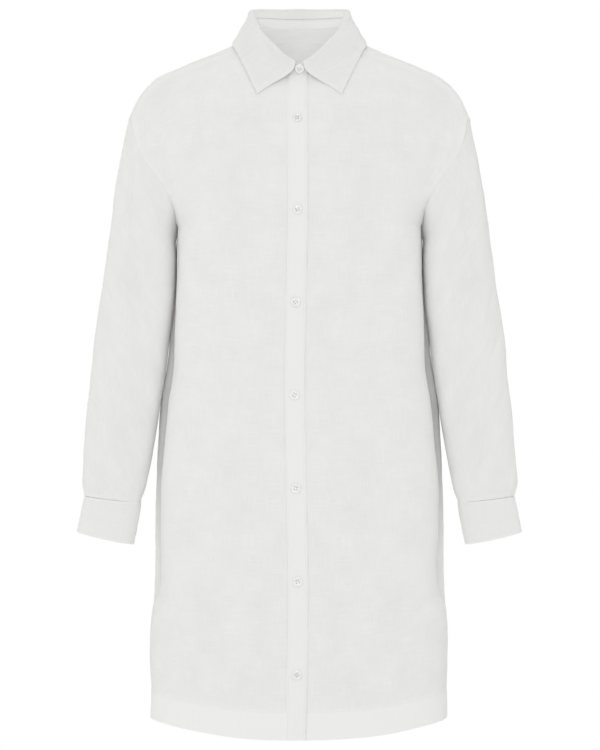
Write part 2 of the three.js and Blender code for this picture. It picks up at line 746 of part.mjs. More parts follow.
// Every button is a disc with a rounded rim and a shallow well.
function buttonGeometry(place, outward) {
  const profile = [
    [0, 0], [5.2, 0], [buttonRadius, 0.9], [6.1, 1.9], [5.3, buttonThick],
    [4.3, buttonThick - 0.1], [3.5, 1.9], [0, 1.9],
  ].map(([radius, height]) => new THREE.Vector2(radius, height));
  const geometry = new THREE.LatheGeometry(profile, buttonSegments);
  const turn = new THREE.Quaternion().setFromUnitVectors(vector(0, 1, 0), outward);
  return geometry.applyQuaternion(turn).translate(...place.toArray());
}
function frontButton(height) {
  const point = centreStrip(0, height);
  const slope = centreStrip(0, height + 3).sub(centreStrip(0, height - 3)).normalize();
  const outward = vector(0, -slope.z, slope.y).normalize();
  return buttonGeometry(point.addScaledVector(outward, placketRise + seamGap), outward);
}
function standButton() {
  const radius = neckRadius + standLapOut + seamGap;
  return buttonGeometry(vector(0, -radius, standButtonZ), vector(0, -1, 0));
}
function cuffButton() {
  const angle = cuffOpening + cuffLapSegments * cuffTurn / 2;
  const ring = cuffRing(0.5);
  const point = ringPoint(ring, angle, cuffSpiral / 2 + cuffLift + seamGap);
  const side = ringPoint(ring, angle + ventHalfAngle).sub(ringPoint(ring, angle - ventHalfAngle));
  const down = ringPoint(cuffRing(1), angle).sub(ringPoint(cuffRing(0), angle));
  const outward = side.cross(down).normalize();
  return buttonGeometry(point, outward);
}

const dress = new THREE.Group();
function add(name, geometry, finish, { flip = false } = {}) {
  const mesh = new THREE.Mesh(geometry, new THREE.MeshStandardMaterial(finish));
  mesh.name = name;
  if (flip) mirrorGeometry(geometry);
  dress.add(mesh);
}

// The wearer's right copy of a left piece.
function mirrorGeometry(geometry) {
  const position = geometry.getAttribute('position');
  for (let i = 0; i < position.count; i += 1) position.setX(i, -position.getX(i));
  const index = geometry.index;
  for (let i = 0; i < index.count; i += 3) {
    const second = index.getX(i + 1);
    index.setX(i + 1, index.getX(i + 2));
    index.setX(i + 2, second);
  }
}

const rightNormals = bodyNormals.get(rightFront);
add('front_right', wall(rightFront, clothWall, { normals: rightNormals, facing: -1 }), linen);
add('front_left', wall(leftFront, clothWall, { normals: bodyNormals.get(leftFront) }), linen);
add('back', wall(back, clothWall, { normals: bodyNormals.get(back) }), linen);
add('yoke', wall(yoke, clothWall, { normals: bodyNormals.get(yoke) }), linen);
add('placket', wall(placketGrid(-placketHalf, placketHalf, 4, -placketRise), pliedWall), plied);
add('under_placket', wall(placketGrid(underStart, underReach, 4, underSink), pliedWall), plied);
add('stand', wall(standGrid(), pliedWall, { facing: -1 }), plied);
add('collar', wall(collarGrid(), pliedWall, { facing: -1 }), plied);
const sleeve = sleeveGrid(armholeEdge(leftFront, back, yoke));
const headNormals = armholeEdge(...[leftFront, back, yoke].map(grid => bodyNormals.get(grid)));
for (const side of ['left', 'right']) {
  const flip = side === 'right';
  const normals = sleeveNormals(sleeve, headNormals);
  add(`sleeve_${side}`, wall(sleeve, clothWall, { closed: true, facing: -1, normals }), linen, { flip });
  add(`cuff_${side}`, wall(cuffGrid(), pliedWall), plied, { flip });
  add(`vent_${side}`, wall(ventGrid(), clothWall), plied, { flip });
  add(`cuff_button_${side}`, cuffButton(), shell, { flip });
}
add('button_stand', standButton(), shell);
for (let i = 0; i < frontButtons; i += 1) {
  add(`button_${i + 1}`, frontButton(firstButtonZ - i * buttonPitch), shell);
}

export default dress;
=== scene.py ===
import math
import bpy
import numpy as np
from mathutils import Matrix, Vector


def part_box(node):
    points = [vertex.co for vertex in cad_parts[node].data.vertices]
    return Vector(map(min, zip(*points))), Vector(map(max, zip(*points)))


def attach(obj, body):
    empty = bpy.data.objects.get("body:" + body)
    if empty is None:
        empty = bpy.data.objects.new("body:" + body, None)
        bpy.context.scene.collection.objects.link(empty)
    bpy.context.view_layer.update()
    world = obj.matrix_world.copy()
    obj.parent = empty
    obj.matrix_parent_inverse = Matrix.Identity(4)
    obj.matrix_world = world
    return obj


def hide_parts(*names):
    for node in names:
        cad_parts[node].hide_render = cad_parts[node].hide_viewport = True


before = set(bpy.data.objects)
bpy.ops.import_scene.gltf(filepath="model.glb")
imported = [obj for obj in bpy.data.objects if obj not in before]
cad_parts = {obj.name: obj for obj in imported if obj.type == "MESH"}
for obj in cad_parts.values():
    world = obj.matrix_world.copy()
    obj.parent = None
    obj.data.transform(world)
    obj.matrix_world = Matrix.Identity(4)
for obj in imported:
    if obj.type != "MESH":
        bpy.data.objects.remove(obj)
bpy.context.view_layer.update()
print("frame loaded:", len(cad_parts), "nodes")

# Linen shirt dress, worn form. The tables are in millimetres, the meshes in metres.
# The front faces -Y, the wearer's right is -X.
mm = 0.001

dress = {
    "clothWall": 1.2,
    "pliedWall": 2.0,
    "roundness": 2.3,
    "neckRadius": 63.0,
    "neckFrontZ": -44.0,
    "neckRise": 80.0,
    "neckScoop": 6.6,
    "hemDepth": 37.0,
    "slitTopZ": -721.0,
    "placketHalf": 12.5,
    "underReach": 14.2,
    "edgeGap": 0.03,
}
detail = {"acrossFront": 104, "acrossBack": 150, "alongBody": 270, "aroundSleeve": 120, "alongSleeve": 150}


def rowsOf(names, rows):
    return {name: np.array([row[i] for row in rows], float) for i, name in enumerate(names.split())}


torsoRows = rowsOf(
    "z frontY backY frontHalf backHalf frontLobe backLobe tuck frontSeam backSeam rise riseBy",
    [
        (-898, -146, 137, 194.5, 194.5, -14, 28, 1, 3, 14, 13, 0.62),
        (-862, -145.6, 136.4, 194, 194.2, -14, 28, 1, 3, 13, 10, 0.62),
        (-800, -145, 135, 196, 196, -15, 27, 1, 2, 11, 4, 0.7),
        (-740, -144, 133.5, 192, 193.5, -19, 24, 2, -2, 5, 0, 1),
        (-721, -143.5, 133, 184, 192.5, -22, 24, 2.5, -6, -6, 0, 1),
        (-700, -143, 132, 180, 192.5, -24, 24, 3, -10, -10, 0, 1),
        (-630, -141, 130, 181.5, 191.8, -24, 24, 3, -12, -12, 0, 1),
        (-574, -139.5, 128, 181.5, 190, -24, 24, 3, -12, -12, 0, 1),
        (-520, -138, 126, 176, 188.5, -24, 24, 3, -12, -12, 0, 1),
        (-470, -136.5, 123.5, 171, 185.5, -24, 24, 3, -12, -12, 0, 1),
        (-425, -135, 122, 164, 177.5, -24, 24, 3, -12, -12, 0, 1),
        (-375, -133, 121, 163, 171.5, -24, 27, 3, -11, -11, 0, 1),
        (-315, -131, 120.5, 160, 165.5, -23, 33, 3, -7, -7, 5, 1),
        (-262, -129, 121, 160, 163, -18, 34, 0, 6, 6, 17, 1),
    ],
)
chestRows = {
    -1: rowsOf(
        "z y neckZ torsoHalf rollY turn capReach",
        [
            (-235, -126.5, -234, 164, 16, 0.88, 24),
            (-205, -124, -203, 168, 24, 0.74, 30),
            (-165, -117.5, -160, 176, 28, 0.57, 44),
            (-125, -106, -114, 188, 26, 0.4, 56),
            (-85, -88.5, -62, 202, 20, 0.26, 62),
        ],
    ),
    1: rowsOf(
        "z y neckZ torsoHalf rollY turn capReach",
        [
            (-228, 121.5, -227, 165, 16, 0.88, 24),
            (-190, 122, -189, 170, 28, 0.74, 30),
            (-145, 122, -146, 178, 36, 0.58, 44),
            (-98, 120.5, -102, 190, 40, 0.43, 56),
            (-48, 115.5, -53, 202, 40, 0.31, 62),
        ],
    ),
}
placketRows = rowsOf(
    "z centre",
    [(-898, -5.2), (-815, -3.4), (-700, -2.2), (-578, -4.6), (-459, -6.4), (-341, -5), (-222, -2.6), (-104, -3),
     (-44, -2.5)],
)
armholeRows = rowsOf(
    "turn x z depth",
    [
        (0, 227, -94, 0),
        (0.14, 221, -98, 33),
        (0.22, 218, -111, 48),
        (0.33, 213, -132, 63),
        (0.45, 200, -156, 73),
        (0.54, 187, -174, 75),
        (0.63, 175, -191, 70),
        (0.735, 166.5, -210, 55),
        (0.88, 163, -233, 27),
        (1, 162, -245, 0),
    ],
)
frontSeamRows = rowsOf(
    "x y z",
    [(59.98, -19.27, 16.46), (88, -29, -6), (136, -33, -23), (180, -32, -43), (207, -30, -65), (221, -27, -98)],
)
backSeamRows = rowsOf(
    "x y z",
    [(0, 97, 21), (40, 97, 19), (70, 97, 9), (100, 96, -7), (140, 91, -26), (180, 80, -55), (205, 66, -82),
     (218, 54, -111)],
)
crestRows = rowsOf(
    "share x y z",
    [
        (0, 227, 6, -94),
        (0.1, 216, 7, -71),
        (0.2, 198, 8, -47),
        (0.3, 174, 8, -33.5),
        (0.4, 147, 8, -20.5),
        (0.5, 112, 8, -6),
        (0.571, 84, 8, 4.5),
        (0.643, 72, 30, 14),
        (0.714, 62, 55, 22),
        (0.857, 33, 74, 29.5),
        (1, 0, 79, 31),
    ],
)
foldRows = rowsOf(
    "angle radius z standShare",
    [
        (0, 62, -26, 0.8),
        (17.5, 61.5, -17, 0.74),
        (37, 61, 1.5, 0.66),
        (61, 61, 21.7, 0.58),
        (78, 62, 40.5, 0.54),
        (95, 63.5, 50.5, 0.52),
        (115, 62.5, 55, 0.51),
        (135, 61, 57.5, 0.5),
        (180, 58.5, 60.5, 0.5),
    ],
)
leafRows = rowsOf(
    "share x y z",
    [
        (0, 54.5, -95, -71.4),
        (0.19, 71.5, -70, -33),
        (0.34, 82.5, -42, -9),
        (0.43, 88.5, -21, 1.6),
        (0.53, 86.5, 8, 7),
        (0.73, 70.5, 60, 21),
        (0.87, 37, 80, 28.5),
        (1, 0, 86, 30.5),
    ],
)
sleeveRows = rowsOf(
    "along outerX outerZ innerX innerZ midY depth",
    [
        (0, 227, -94, 162, -245, 6, 75),
        (0.1, 238, -152, 165, -259, 4, 76),
        (0.19, 246, -205, 163.5, -277, 2, 76),
        (0.28, 253.5, -258, 164, -302, 0, 73),
        (0.38, 261, -312, 166, -338, -1, 68),
        (0.49, 269, -366, 172, -382, -2, 64),
        (0.61, 275, -421, 178, -433, -6, 59),
        (0.74, 281, -479, 186.5, -488, -11, 55),
        (0.87, 285, -536, 195.5, -543, -16, 50),
        (0.95, 286.5, -572, 202.5, -579, -20, 45),
        (1, 284, -592.5, 209.5, -601, -23, 37),
    ],
)
cuffRows = rowsOf(
    "along outerX outerZ innerX innerZ midY depth",
    [
        (0, 284, -593, 209.5, -601.5, -23, 37),
        (0.5, 288.5, -616, 214, -629, -25.5, 36),
        (1, 293.3, -640, 219.5, -656.5, -28, 35),
    ],
)


def smoothThrough(keys, values, at):
    # a smooth curve through values at their keys, read at any keys
    keys = np.asarray(keys, float)
    values = np.asarray(values, float)
    slopes = np.empty_like(values)
    span = (slice(None),) + (None,) * (values.ndim - 1)
    slopes[1:-1] = (values[2:] - values[:-2]) / (keys[2:] - keys[:-2])[span]
    slopes[0] = (values[1] - values[0]) / (keys[1] - keys[0])
    slopes[-1] = (values[-1] - values[-2]) / (keys[-1] - keys[-2])
    at = np.asarray(at, float)
    i = np.clip(np.searchsorted(keys, at, side="left") - 1, 0, len(keys) - 2)
    width = keys[i + 1] - keys[i]
    t = (at - keys[i]) / width
    if values.ndim > 1:
        shape = t.shape + (1,) * (values.ndim - 1)
        t = t.reshape(shape)
        width = width.reshape(shape)
    ease = t * t * (3 - 2 * t)
    return (
        values[i] + (values[i + 1] - values[i]) * ease
        + slopes[i] * width * t * (1 - t) ** 2 - slopes[i + 1] * width * t * t * (1 - t)
    )


def readRow(table, key, at):
    return {name: smoothThrough(table[key], column, at) for name, column in table.items() if name != key}


def evenly(points, shares):
    steps = np.linalg.norm(np.diff(points, axis=0), axis=1)
    lengths = np.concatenate([[0], np.cumsum(steps)])
    at = np.asarray(shares) * lengths[-1]
    return np.stack([np.interp(at, lengths, points[:, k]) for k in range(3)], axis=-1)


def mix(a, b, share):
    return a + (b - a) * share


def placketCentre(z):
    return smoothThrough(placketRows["z"], placketRows["centre"], z)


def neckPoint(angle):
    rise = 1 - np.abs(np.cos(angle / 2)) ** dress["neckScoop"]
    radius = dress["neckRadius"]
    return np.stack(
        [radius * np.sin(angle), -radius * np.cos(angle), dress["neckFrontZ"] + dress["neckRise"] * rise], axis=-1)


def armholePoint(turn, side):
    row = readRow(armholeRows, "turn", turn)
    return np.array([row["x"], 6 + side * row["depth"], row["z"]])


fine = np.linspace(0, 1, 241)


def torsoCurve(i, side, innerX, shares):
    # half a section below the underarm, from the centre to the side seam
    row = {name: column[i] for name, column in torsoRows.items()}
    half = row["frontHalf"] if side < 0 else row["backHalf"]
    centreY = row["frontY"] if side < 0 else row["backY"]
    lobeY = row["frontLobe"] if side < 0 else row["backLobe"]
    seamY = row["frontSeam"] if side < 0 else row["backSeam"]
    tuck = row["tuck"] + half - row["frontHalf"]
    tuckShare, tuckAngle, power = 0.2, 1.45, 2 / dress["roundness"]
    start = math.asin((innerX / half) ** (dress["roundness"] / 2))
    angle = mix(start, math.pi / 2, np.clip(fine / (1 - tuckShare), 0, 1))
    turn = tuckAngle * np.clip((fine - 1 + tuckShare) / tuckShare, 0, 1)
    x = half * np.sin(angle) ** power - tuck * (1 - np.cos(turn)) / (1 - math.cos(tuckAngle))
    y = mix(lobeY, centreY, np.abs(np.cos(angle)) ** power)
    y = np.where(turn > 0, mix(lobeY, seamY, np.sin(turn) / math.sin(tuckAngle)), y)
    lift = row["rise"] * np.sin(np.clip(fine / row["riseBy"], 0, 1) * math.pi / 2) ** 2
    return evenly(np.stack([x, y, row["z"] + lift], axis=-1), shares)


def rowHeights(row, side, x):
    edge = armholePoint(row["turn"], side)
    return smoothThrough([0, dress["neckRadius"], edge[0]], [row["z"], row["neckZ"], edge[2]], x)


def chestCurve(i, side, innerX, shares):
    # half a row above the underarm: the chest, the crease beside the arm, the arm's roundness
    row = {name: column[i] for name, column in chestRows[side].items()}
    edge = armholePoint(row["turn"], side)
    edgeDepth = side * edge[1]

    def depthAt(x):
        roll = np.maximum(1 - (x / row["torsoHalf"]) ** dress["roundness"], 0) ** (1 / dress["roundness"])
        chest = row["rollY"] + (side * row["y"] - row["rollY"]) * roll
        cap = edgeDepth * (1 - ((edge[0] - x) / row["capReach"]) ** 2)
        near = np.maximum(9 - np.abs(chest - cap), 0) / 9
        return np.maximum(chest, cap) + near * near * 9 / 4

    x = mix(innerX, edge[0], np.sin(fine * math.pi / 2))
    depth = depthAt(x) + (edgeDepth - depthAt(edge[0])) * (x / edge[0]) ** 8
    return evenly(np.stack([x, side * depth, rowHeights(row, side, x)], axis=-1), shares)


neckSeamAngle = 1.26
cornerShare = 4 / 12


def frontTopCurve(innerX, shares):
    # the neck seam, then the yoke seam, with the corner between them
    start = math.asin(innerX / dress["neckRadius"])
    neck = neckPoint(mix(start, neckSeamAngle, fine))
    x = mix(frontSeamRows["x"][0], frontSeamRows["x"][-1], np.sin(fine * math.pi / 2))
    row = readRow(frontSeamRows, "x", x)
    seam = np.stack([x, row["y"], row["z"]], axis=-1)
    shares = np.asarray(shares)
    onNeck = evenly(neck, np.clip(shares / cornerShare, 0, 1))
    onSeam = evenly(seam, np.clip((shares - cornerShare) / (1 - cornerShare), 0, 1))
    return np.where((shares < cornerShare)[:, None], onNeck, onSeam)


def backTopCurve(shares):
    x = backSeamRows["x"][-1] * np.sin(fine * math.pi / 2)
    row = readRow(backSeamRows, "x", x)
    return evenly(np.stack([x, row["y"], row["z"]], axis=-1), shares)


def panelGrid(side, innerAt, shares, heights):
    keys, curves = [], []
    for i, z in enumerate(torsoRows["z"]):
        keys.append(z)
        curves.append(torsoCurve(i, side, innerAt(z), shares))
    for i, z in enumerate(chestRows[side]["z"]):
        keys.append(z)
        curves.append(chestCurve(i, side, innerAt(z), shares))
    keys.append(dress["neckFrontZ"] if side < 0 else backSeamRows["z"][0])
    curves.append(frontTopCurve(innerAt(dress["neckFrontZ"]), shares) if side < 0 else backTopCurve(shares))
    return smoothThrough(keys, np.array(curves), heights)


def centreStrip(offsets, heights):
    # the front opening, read by distance from the placket's middle line
    keys, curves = [], []
    power = dress["roundness"]
    for i, z in enumerate(torsoRows["z"]):
        x = placketCentre(z) + offsets
        depth = (1 - (np.abs(x) / torsoRows["frontHalf"][i]) ** power) ** (1 / power)
        y = mix(torsoRows["frontLobe"][i], torsoRows["frontY"][i], depth)
        keys.append(z)
        curves.append(np.stack([x, y, np.full_like(x, z)], axis=-1))
    for i, z in enumerate(chestRows[-1]["z"]):
        row = {name: column[i] for name, column in chestRows[-1].items()}
        x = placketCentre(z) + offsets
        depth = (1 - (np.abs(x) / row["torsoHalf"]) ** power) ** (1 / power)
        curves.append(np.stack([x, mix(-row["rollY"], row["y"], depth), rowHeights(row, -1, np.abs(x))], axis=-1))
        keys.append(z)
    keys.append(dress["neckFrontZ"])
    curves.append(neckPoint(np.arcsin((placketCentre(dress["neckFrontZ"]) + offsets) / dress["neckRadius"])))
    return smoothThrough(keys, np.array(curves), heights)


# Working with grids of points
def normalsOf(grid, closed=False):
    if closed:
        across = np.roll(grid, -1, axis=1) - np.roll(grid, 1, axis=1)
    else:
        across = np.gradient(grid, axis=1)
    along = np.gradient(grid, axis=0)
    cross = np.cross(across, along)
    return cross / np.maximum(np.linalg.norm(cross, axis=-1, keepdims=True), 1e-9)


def distances(grid):
    # how far each point is along its row and up its column
    across = np.linalg.norm(np.diff(grid, axis=1), axis=-1)
    along = np.linalg.norm(np.diff(grid, axis=0), axis=-1)
    u = np.concatenate([np.zeros((grid.shape[0], 1)), np.cumsum(across, axis=1)], axis=1)
    v = np.concatenate([np.zeros((1, grid.shape[1])), np.cumsum(along, axis=0)], axis=0)
    return u, v


def softNoise(u, v, sizeU, sizeV, seed):
    # smooth lumps between -1 and 1, of one size each way
    lattice = np.random.RandomState(seed).uniform(-1, 1, (96, 96))
    a = u / sizeU + 7.3
    b = v / sizeV + 11.7
    i, j = np.floor(a).astype(int), np.floor(b).astype(int)
    s, t = a - i, b - j
    s, t = s * s * (3 - 2 * s), t * t * (3 - 2 * t)
    c00, c10 = lattice[i % 96, j % 96], lattice[(i + 1) % 96, j % 96]
    c01, c11 = lattice[i % 96, (j + 1) % 96], lattice[(i + 1) % 96, (j + 1) % 96]
    return mix(mix(c00, c10, s), mix(c01, c11, s), t)


def foldField(a, b, folds):
    # each fold is a bowed line from one place to another, as a soft trough (depth below
    # zero) or ridge, in the piece's own two sizes
    total = np.zeros_like(a)
    for fromA, fromB, toA, toB, bow, width, depth in folds:
        direction = np.array([toA - fromA, toB - fromB])
        length = np.hypot(*direction)
        direction = direction / length
        along = ((a - fromA) * direction[0] + (b - fromB) * direction[1]) / length
        off = (a - fromA) * -direction[1] + (b - fromB) * direction[0]
        inside = np.clip(along, 0, 1)
        off = off - bow * np.sin(inside * math.pi)
        fade = np.sin(inside * math.pi) ** 0.7 * (along > 0) * (along < 1)
        spread = width * (0.75 + 0.5 * inside)
        total += depth * fade * np.exp(-((off / spread) ** 2))
    return total


def makeMesh(name, points, faces, uvs=None, plies=None):
    mesh = bpy.data.meshes.new(name)
    mesh.from_pydata([tuple(p) for p in (points * mm)], [], faces)
    loops = np.empty(len(mesh.loops), np.int32)
    mesh.loops.foreach_get("vertex_index", loops)
    if uvs is not None:
        layer = mesh.uv_layers.new(name="clothMap")
        layer.data.foreach_set("uv", (uvs[loops] * mm).astype(np.float32).ravel())
    if plies is not None:
        attribute = mesh.attributes.new("plies", "FLOAT", "POINT")
        attribute.data.foreach_set("value", plies.astype(np.float32))
    mesh.polygons.foreach_set("use_smooth", np.ones(len(mesh.polygons), bool))
    mesh.set_sharp_from_angle(angle=math.radians(52))
    mesh.update()
    piece = bpy.data.objects.new(name, mesh)
    bpy.context.scene.collection.objects.link(piece)
    return piece


def clothWall(name, grid, thickness, facing=1, closed=False, plies=None, thin=1.0):
    # a thin wall: the outer face, the inner face one thickness in, and rims between
    rows, columns = grid.shape[:2]
    normals = normalsOf(grid, closed) * facing
    if plies is None:
        plies = np.zeros((rows, columns))
    inner = grid - normals * (thickness * (0.75 + 0.35 * plies) * thin)[..., None]
    u, v = distances(grid)
    points = np.concatenate([grid.reshape(-1, 3), inner.reshape(-1, 3)])
    flat = np.stack([u.ravel(), v.ravel()], axis=-1)
    uvs = np.concatenate([flat, flat])
    index = np.arange(rows * columns).reshape(rows, columns)
    if closed:
        index = np.concatenate([index, index[:, :1]], axis=1)
    a, b, c, d = index[:-1, :-1], index[:-1, 1:], index[1:, 1:], index[1:, :-1]
    outerFaces = np.stack([a, b, c, d], axis=-1).reshape(-1, 4)
    shift = rows * columns
    innerFaces = outerFaces[:, ::-1] + shift
    rims = [
        np.stack([index[0, 1:], index[0, :-1], index[0, :-1] + shift, index[0, 1:] + shift], axis=-1),
        np.stack([index[-1, :-1], index[-1, 1:], index[-1, 1:] + shift, index[-1, :-1] + shift], axis=-1),
    ]
    if not closed:
        rims.append(np.stack([index[:-1, 0], index[1:, 0], index[1:, 0] + shift, index[:-1, 0] + shift], axis=-1))
        rims.append(np.stack([index[1:, -1], index[:-1, -1], index[:-1, -1] + shift, index[1:, -1] + shift], axis=-1))
    faces = np.concatenate([outerFaces, innerFaces] + rims)
    if facing < 0:
        faces = faces[:, ::-1]
    return makeMesh(name, points, faces.tolist(), uvs, np.concatenate([plies.ravel(), plies.ravel()]))


def mirrored(grid):
    return grid * np.array([-1.0, 1, 1])


def edgeEase(grid, ends=(True, True, True, True)):
    # pulls the edges back by half the seam gap: first row, last row, first column, last column
    gap = dress["edgeGap"]

    def pull(edge, neighbour):
        step = neighbour - edge
        return edge + step / np.maximum(np.linalg.norm(step, axis=-1, keepdims=True), 1e-9) * gap

    if ends[0]:
        grid[0] = pull(grid[0], grid[1])
    if ends[1]:
        grid[-1] = pull(grid[-1], grid[-2])
    if ends[2]:
        grid[:, 0] = pull(grid[:, 0], grid[:, 1])
    if ends[3]:
        grid[:, -1] = pull(grid[:, -1], grid[:, -2])
    return grid


def band(distance, width, soft=1.2):
    return 1 / (1 + np.exp((distance - width) / soft))


# Materials
def node(tree, kind, **inputs):
    made = tree.nodes.new(kind)
    for name, value in inputs.items():
        made.inputs[name].default_value = value
    return made


def linenMaterial(name, base, plied, slubDepth=1.0):
    # warp and weft threads with slubs, faint clouding, and lighter doubled cloth
    material = bpy.data.materials.new(name)
    material.use_nodes = True
    tree = material.node_tree
    link = tree.links.new
    tree.nodes.clear()
    output = tree.nodes.new("ShaderNodeOutputMaterial")
    shader = node(tree, "ShaderNodeBsdfPrincipled", Roughness=0.92)
    shader.inputs["Diffuse Roughness"].default_value = 1.0
    shader.inputs["Specular IOR Level"].default_value = 0.18
    shader.inputs["Sheen Weight"].default_value = 0.35
    shader.inputs["Sheen Roughness"].default_value = 0.6
    link(shader.outputs[0], output.inputs[0])
    place = tree.nodes.new("ShaderNodeUVMap")
    place.uv_map = "clothMap"

    def streaks(scaleU, scaleV, detailLevel):
        mapping = tree.nodes.new("ShaderNodeMapping")
        mapping.inputs["Scale"].default_value = (scaleU, scaleV, 1)
        noise = node(tree, "ShaderNodeTexNoise", Scale=1.0, Detail=detailLevel, Roughness=0.55)
        link(place.outputs[0], mapping.inputs[0])
        link(mapping.outputs[0], noise.inputs[0])
        return noise.outputs[0]

    def math2(kind, a, b):
        made = tree.nodes.new("ShaderNodeMath")
        made.operation = kind
        for i, value in enumerate((a, b)):
            if isinstance(value, (int, float)):
                made.inputs[i].default_value = value
            else:
                link(value, made.inputs[i])
        return made.outputs[0]

    warp = streaks(1100, 38, 2.5)
    weft = streaks(34, 1100, 2.5)
    clouds = streaks(22, 22, 3.0)
    thread = []
    for scale in ((1, 0), (0, 1)):
        mapping = tree.nodes.new("ShaderNodeMapping")
        mapping.inputs["Rotation"].default_value = (0, 0, 0 if scale[0] else math.pi / 2)
        wave = node(tree, "ShaderNodeTexWave", Scale=250.0, Distortion=1.2, Detail=1.0)
        link(place.outputs[0], mapping.inputs[0])
        link(mapping.outputs[0], wave.inputs[0])
        thread.append(wave.outputs[1])
    slubs = math2("MAXIMUM", warp, weft)
    weave = math2("ADD", math2("MULTIPLY", thread[0], 0.5), math2("MULTIPLY", thread[1], 0.5))
    plies = tree.nodes.new("ShaderNodeAttribute")
    plies.attribute_name = "plies"
    tone = tree.nodes.new("ShaderNodeValToRGB")
    tone.color_ramp.elements[0].position = 0.36
    tone.color_ramp.elements[1].position = 0.74
    dark = [channel * 0.93 for channel in base]
    tone.color_ramp.elements[0].color = (*dark, 1)
    tone.color_ramp.elements[1].color = (*[min(channel * 1.035, 1) for channel in base], 1)
    shade = math2("ADD", math2("MULTIPLY", slubs, 0.72), math2("MULTIPLY", clouds, 0.28))
    link(shade, tone.inputs[0])
    lift = tree.nodes.new("ShaderNodeMix")
    lift.data_type = "RGBA"
    lift.inputs["B"].default_value = (*plied, 1)
    amount = math2("MULTIPLY", plies.outputs["Fac"], 0.8)
    link(amount, lift.inputs["Factor"])
    link(tone.outputs[0], lift.inputs["A"])
    link(lift.outputs["Result"], shader.inputs["Base Color"])
    relief = math2("ADD", math2("MULTIPLY", slubs, 0.7), math2("MULTIPLY", weave, 0.25))
    bump = node(tree, "ShaderNodeBump", Strength=0.55)
    bump.inputs["Distance"].default_value = 0.00045 * slubDepth
    link(relief, bump.inputs["Height"])
    link(bump.outputs[0], shader.inputs["Normal"])
    return material


def shellMaterial():
    # pearly shell: faint clouded layers under a soft gloss
    material = bpy.data.materials.new("shellButton")
    material.use_nodes = True
    tree = material.node_tree
    link = tree.links.new
    shader = tree.nodes["Principled BSDF"]
    shader.inputs["Roughness"].default_value = 0.22
    shader.inputs["Coat Weight"].default_value = 0.35
    place = tree.nodes.new("ShaderNodeTexCoord")
    noise = node(tree, "ShaderNodeTexNoise", Scale=260.0, Detail=3.0, Distortion=1.4)
    ramp = tree.nodes.new("ShaderNodeValToRGB")
    ramp.color_ramp.elements[0].color = (0.86, 0.855, 0.84, 1)
    ramp.color_ramp.elements[1].color = (0.97, 0.965, 0.96, 1)
    link(place.outputs["Object"], noise.inputs[0])
    link(noise.outputs[0], ramp.inputs[0])
    link(ramp.outputs[0], shader.inputs["Base Color"])
    return material


def threadMaterial():
    material = bpy.data.materials.new("sewingThread")
    material.use_nodes = True
    tree = material.node_tree
    link = tree.links.new
    shader = tree.nodes["Principled BSDF"]
    shader.inputs["Roughness"].default_value = 0.7
    place = tree.nodes.new("ShaderNodeTexCoord")
    noise = node(tree, "ShaderNodeTexNoise", Scale=900.0, Detail=2.0)
    ramp = tree.nodes.new("ShaderNodeValToRGB")
    ramp.color_ramp.elements[0].color = (0.74, 0.74, 0.73, 1)
    ramp.color_ramp.elements[1].color = (0.86, 0.86, 0.85, 1)
    link(place.outputs["Object"], noise.inputs[0])
    link(noise.outputs[0], ramp.inputs[0])
    link(ramp.outputs[0], shader.inputs["Base Color"])
    return material


linen = linenMaterial("linenCloth", (0.915, 0.915, 0.905), (0.935, 0.935, 0.927))
# the doubled cloth's base colour is darker than the single cloth's: painted shade that offsets the stronger light from
# above on the collar, stand and cuffs. Its lift towards the lighter plied colour is the doubled cloth's own.
pliedLinenPaintedShade = linenMaterial("linenDoubledPaintedShade", (0.89, 0.89, 0.882), (0.93, 0.93, 0.922))
shell = shellMaterial()
thread = threadMaterial()
print("materials made")


def dressPiece(piece, material, nodes):
    piece.data.materials.append(material)
    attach(piece, "root")
    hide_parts(*nodes)
    return piece


# Topstitching: seam lines are gathered per piece, and one node tree lays the thread on them
stitch = {"pitch": 2.9, "length": 2.3, "radius": 0.2, "unevenness": 0.12, "seed": 4}
stitchLines = {}


def sewLine(name, surface, facing, edge, inset, part=(0.0, 1.0), closed=False):
    # a line a fixed distance in from one edge, with the outward direction along it
    outward = normalsOf(surface, closed) * facing
    if edge in ("left", "right"):
        surface, outward = surface.transpose(1, 0, 2), outward.transpose(1, 0, 2)
    if edge in ("last", "right"):
        surface, outward = surface[::-1], outward[::-1]
    inward = distances(surface)[1]
    first, last = (int(round(share * (surface.shape[1] - 1))) for share in part)
    points, directions = [], []
    for k in range(first, last + 1):
        points.append([np.interp(inset, inward[:, k], surface[:, k, axis]) for axis in range(3)])
        directions.append([np.interp(inset, inward[:, k], outward[:, k, axis]) for axis in range(3)])
    stitchLines.setdefault(name, []).append((np.array(points), np.array(directions)))


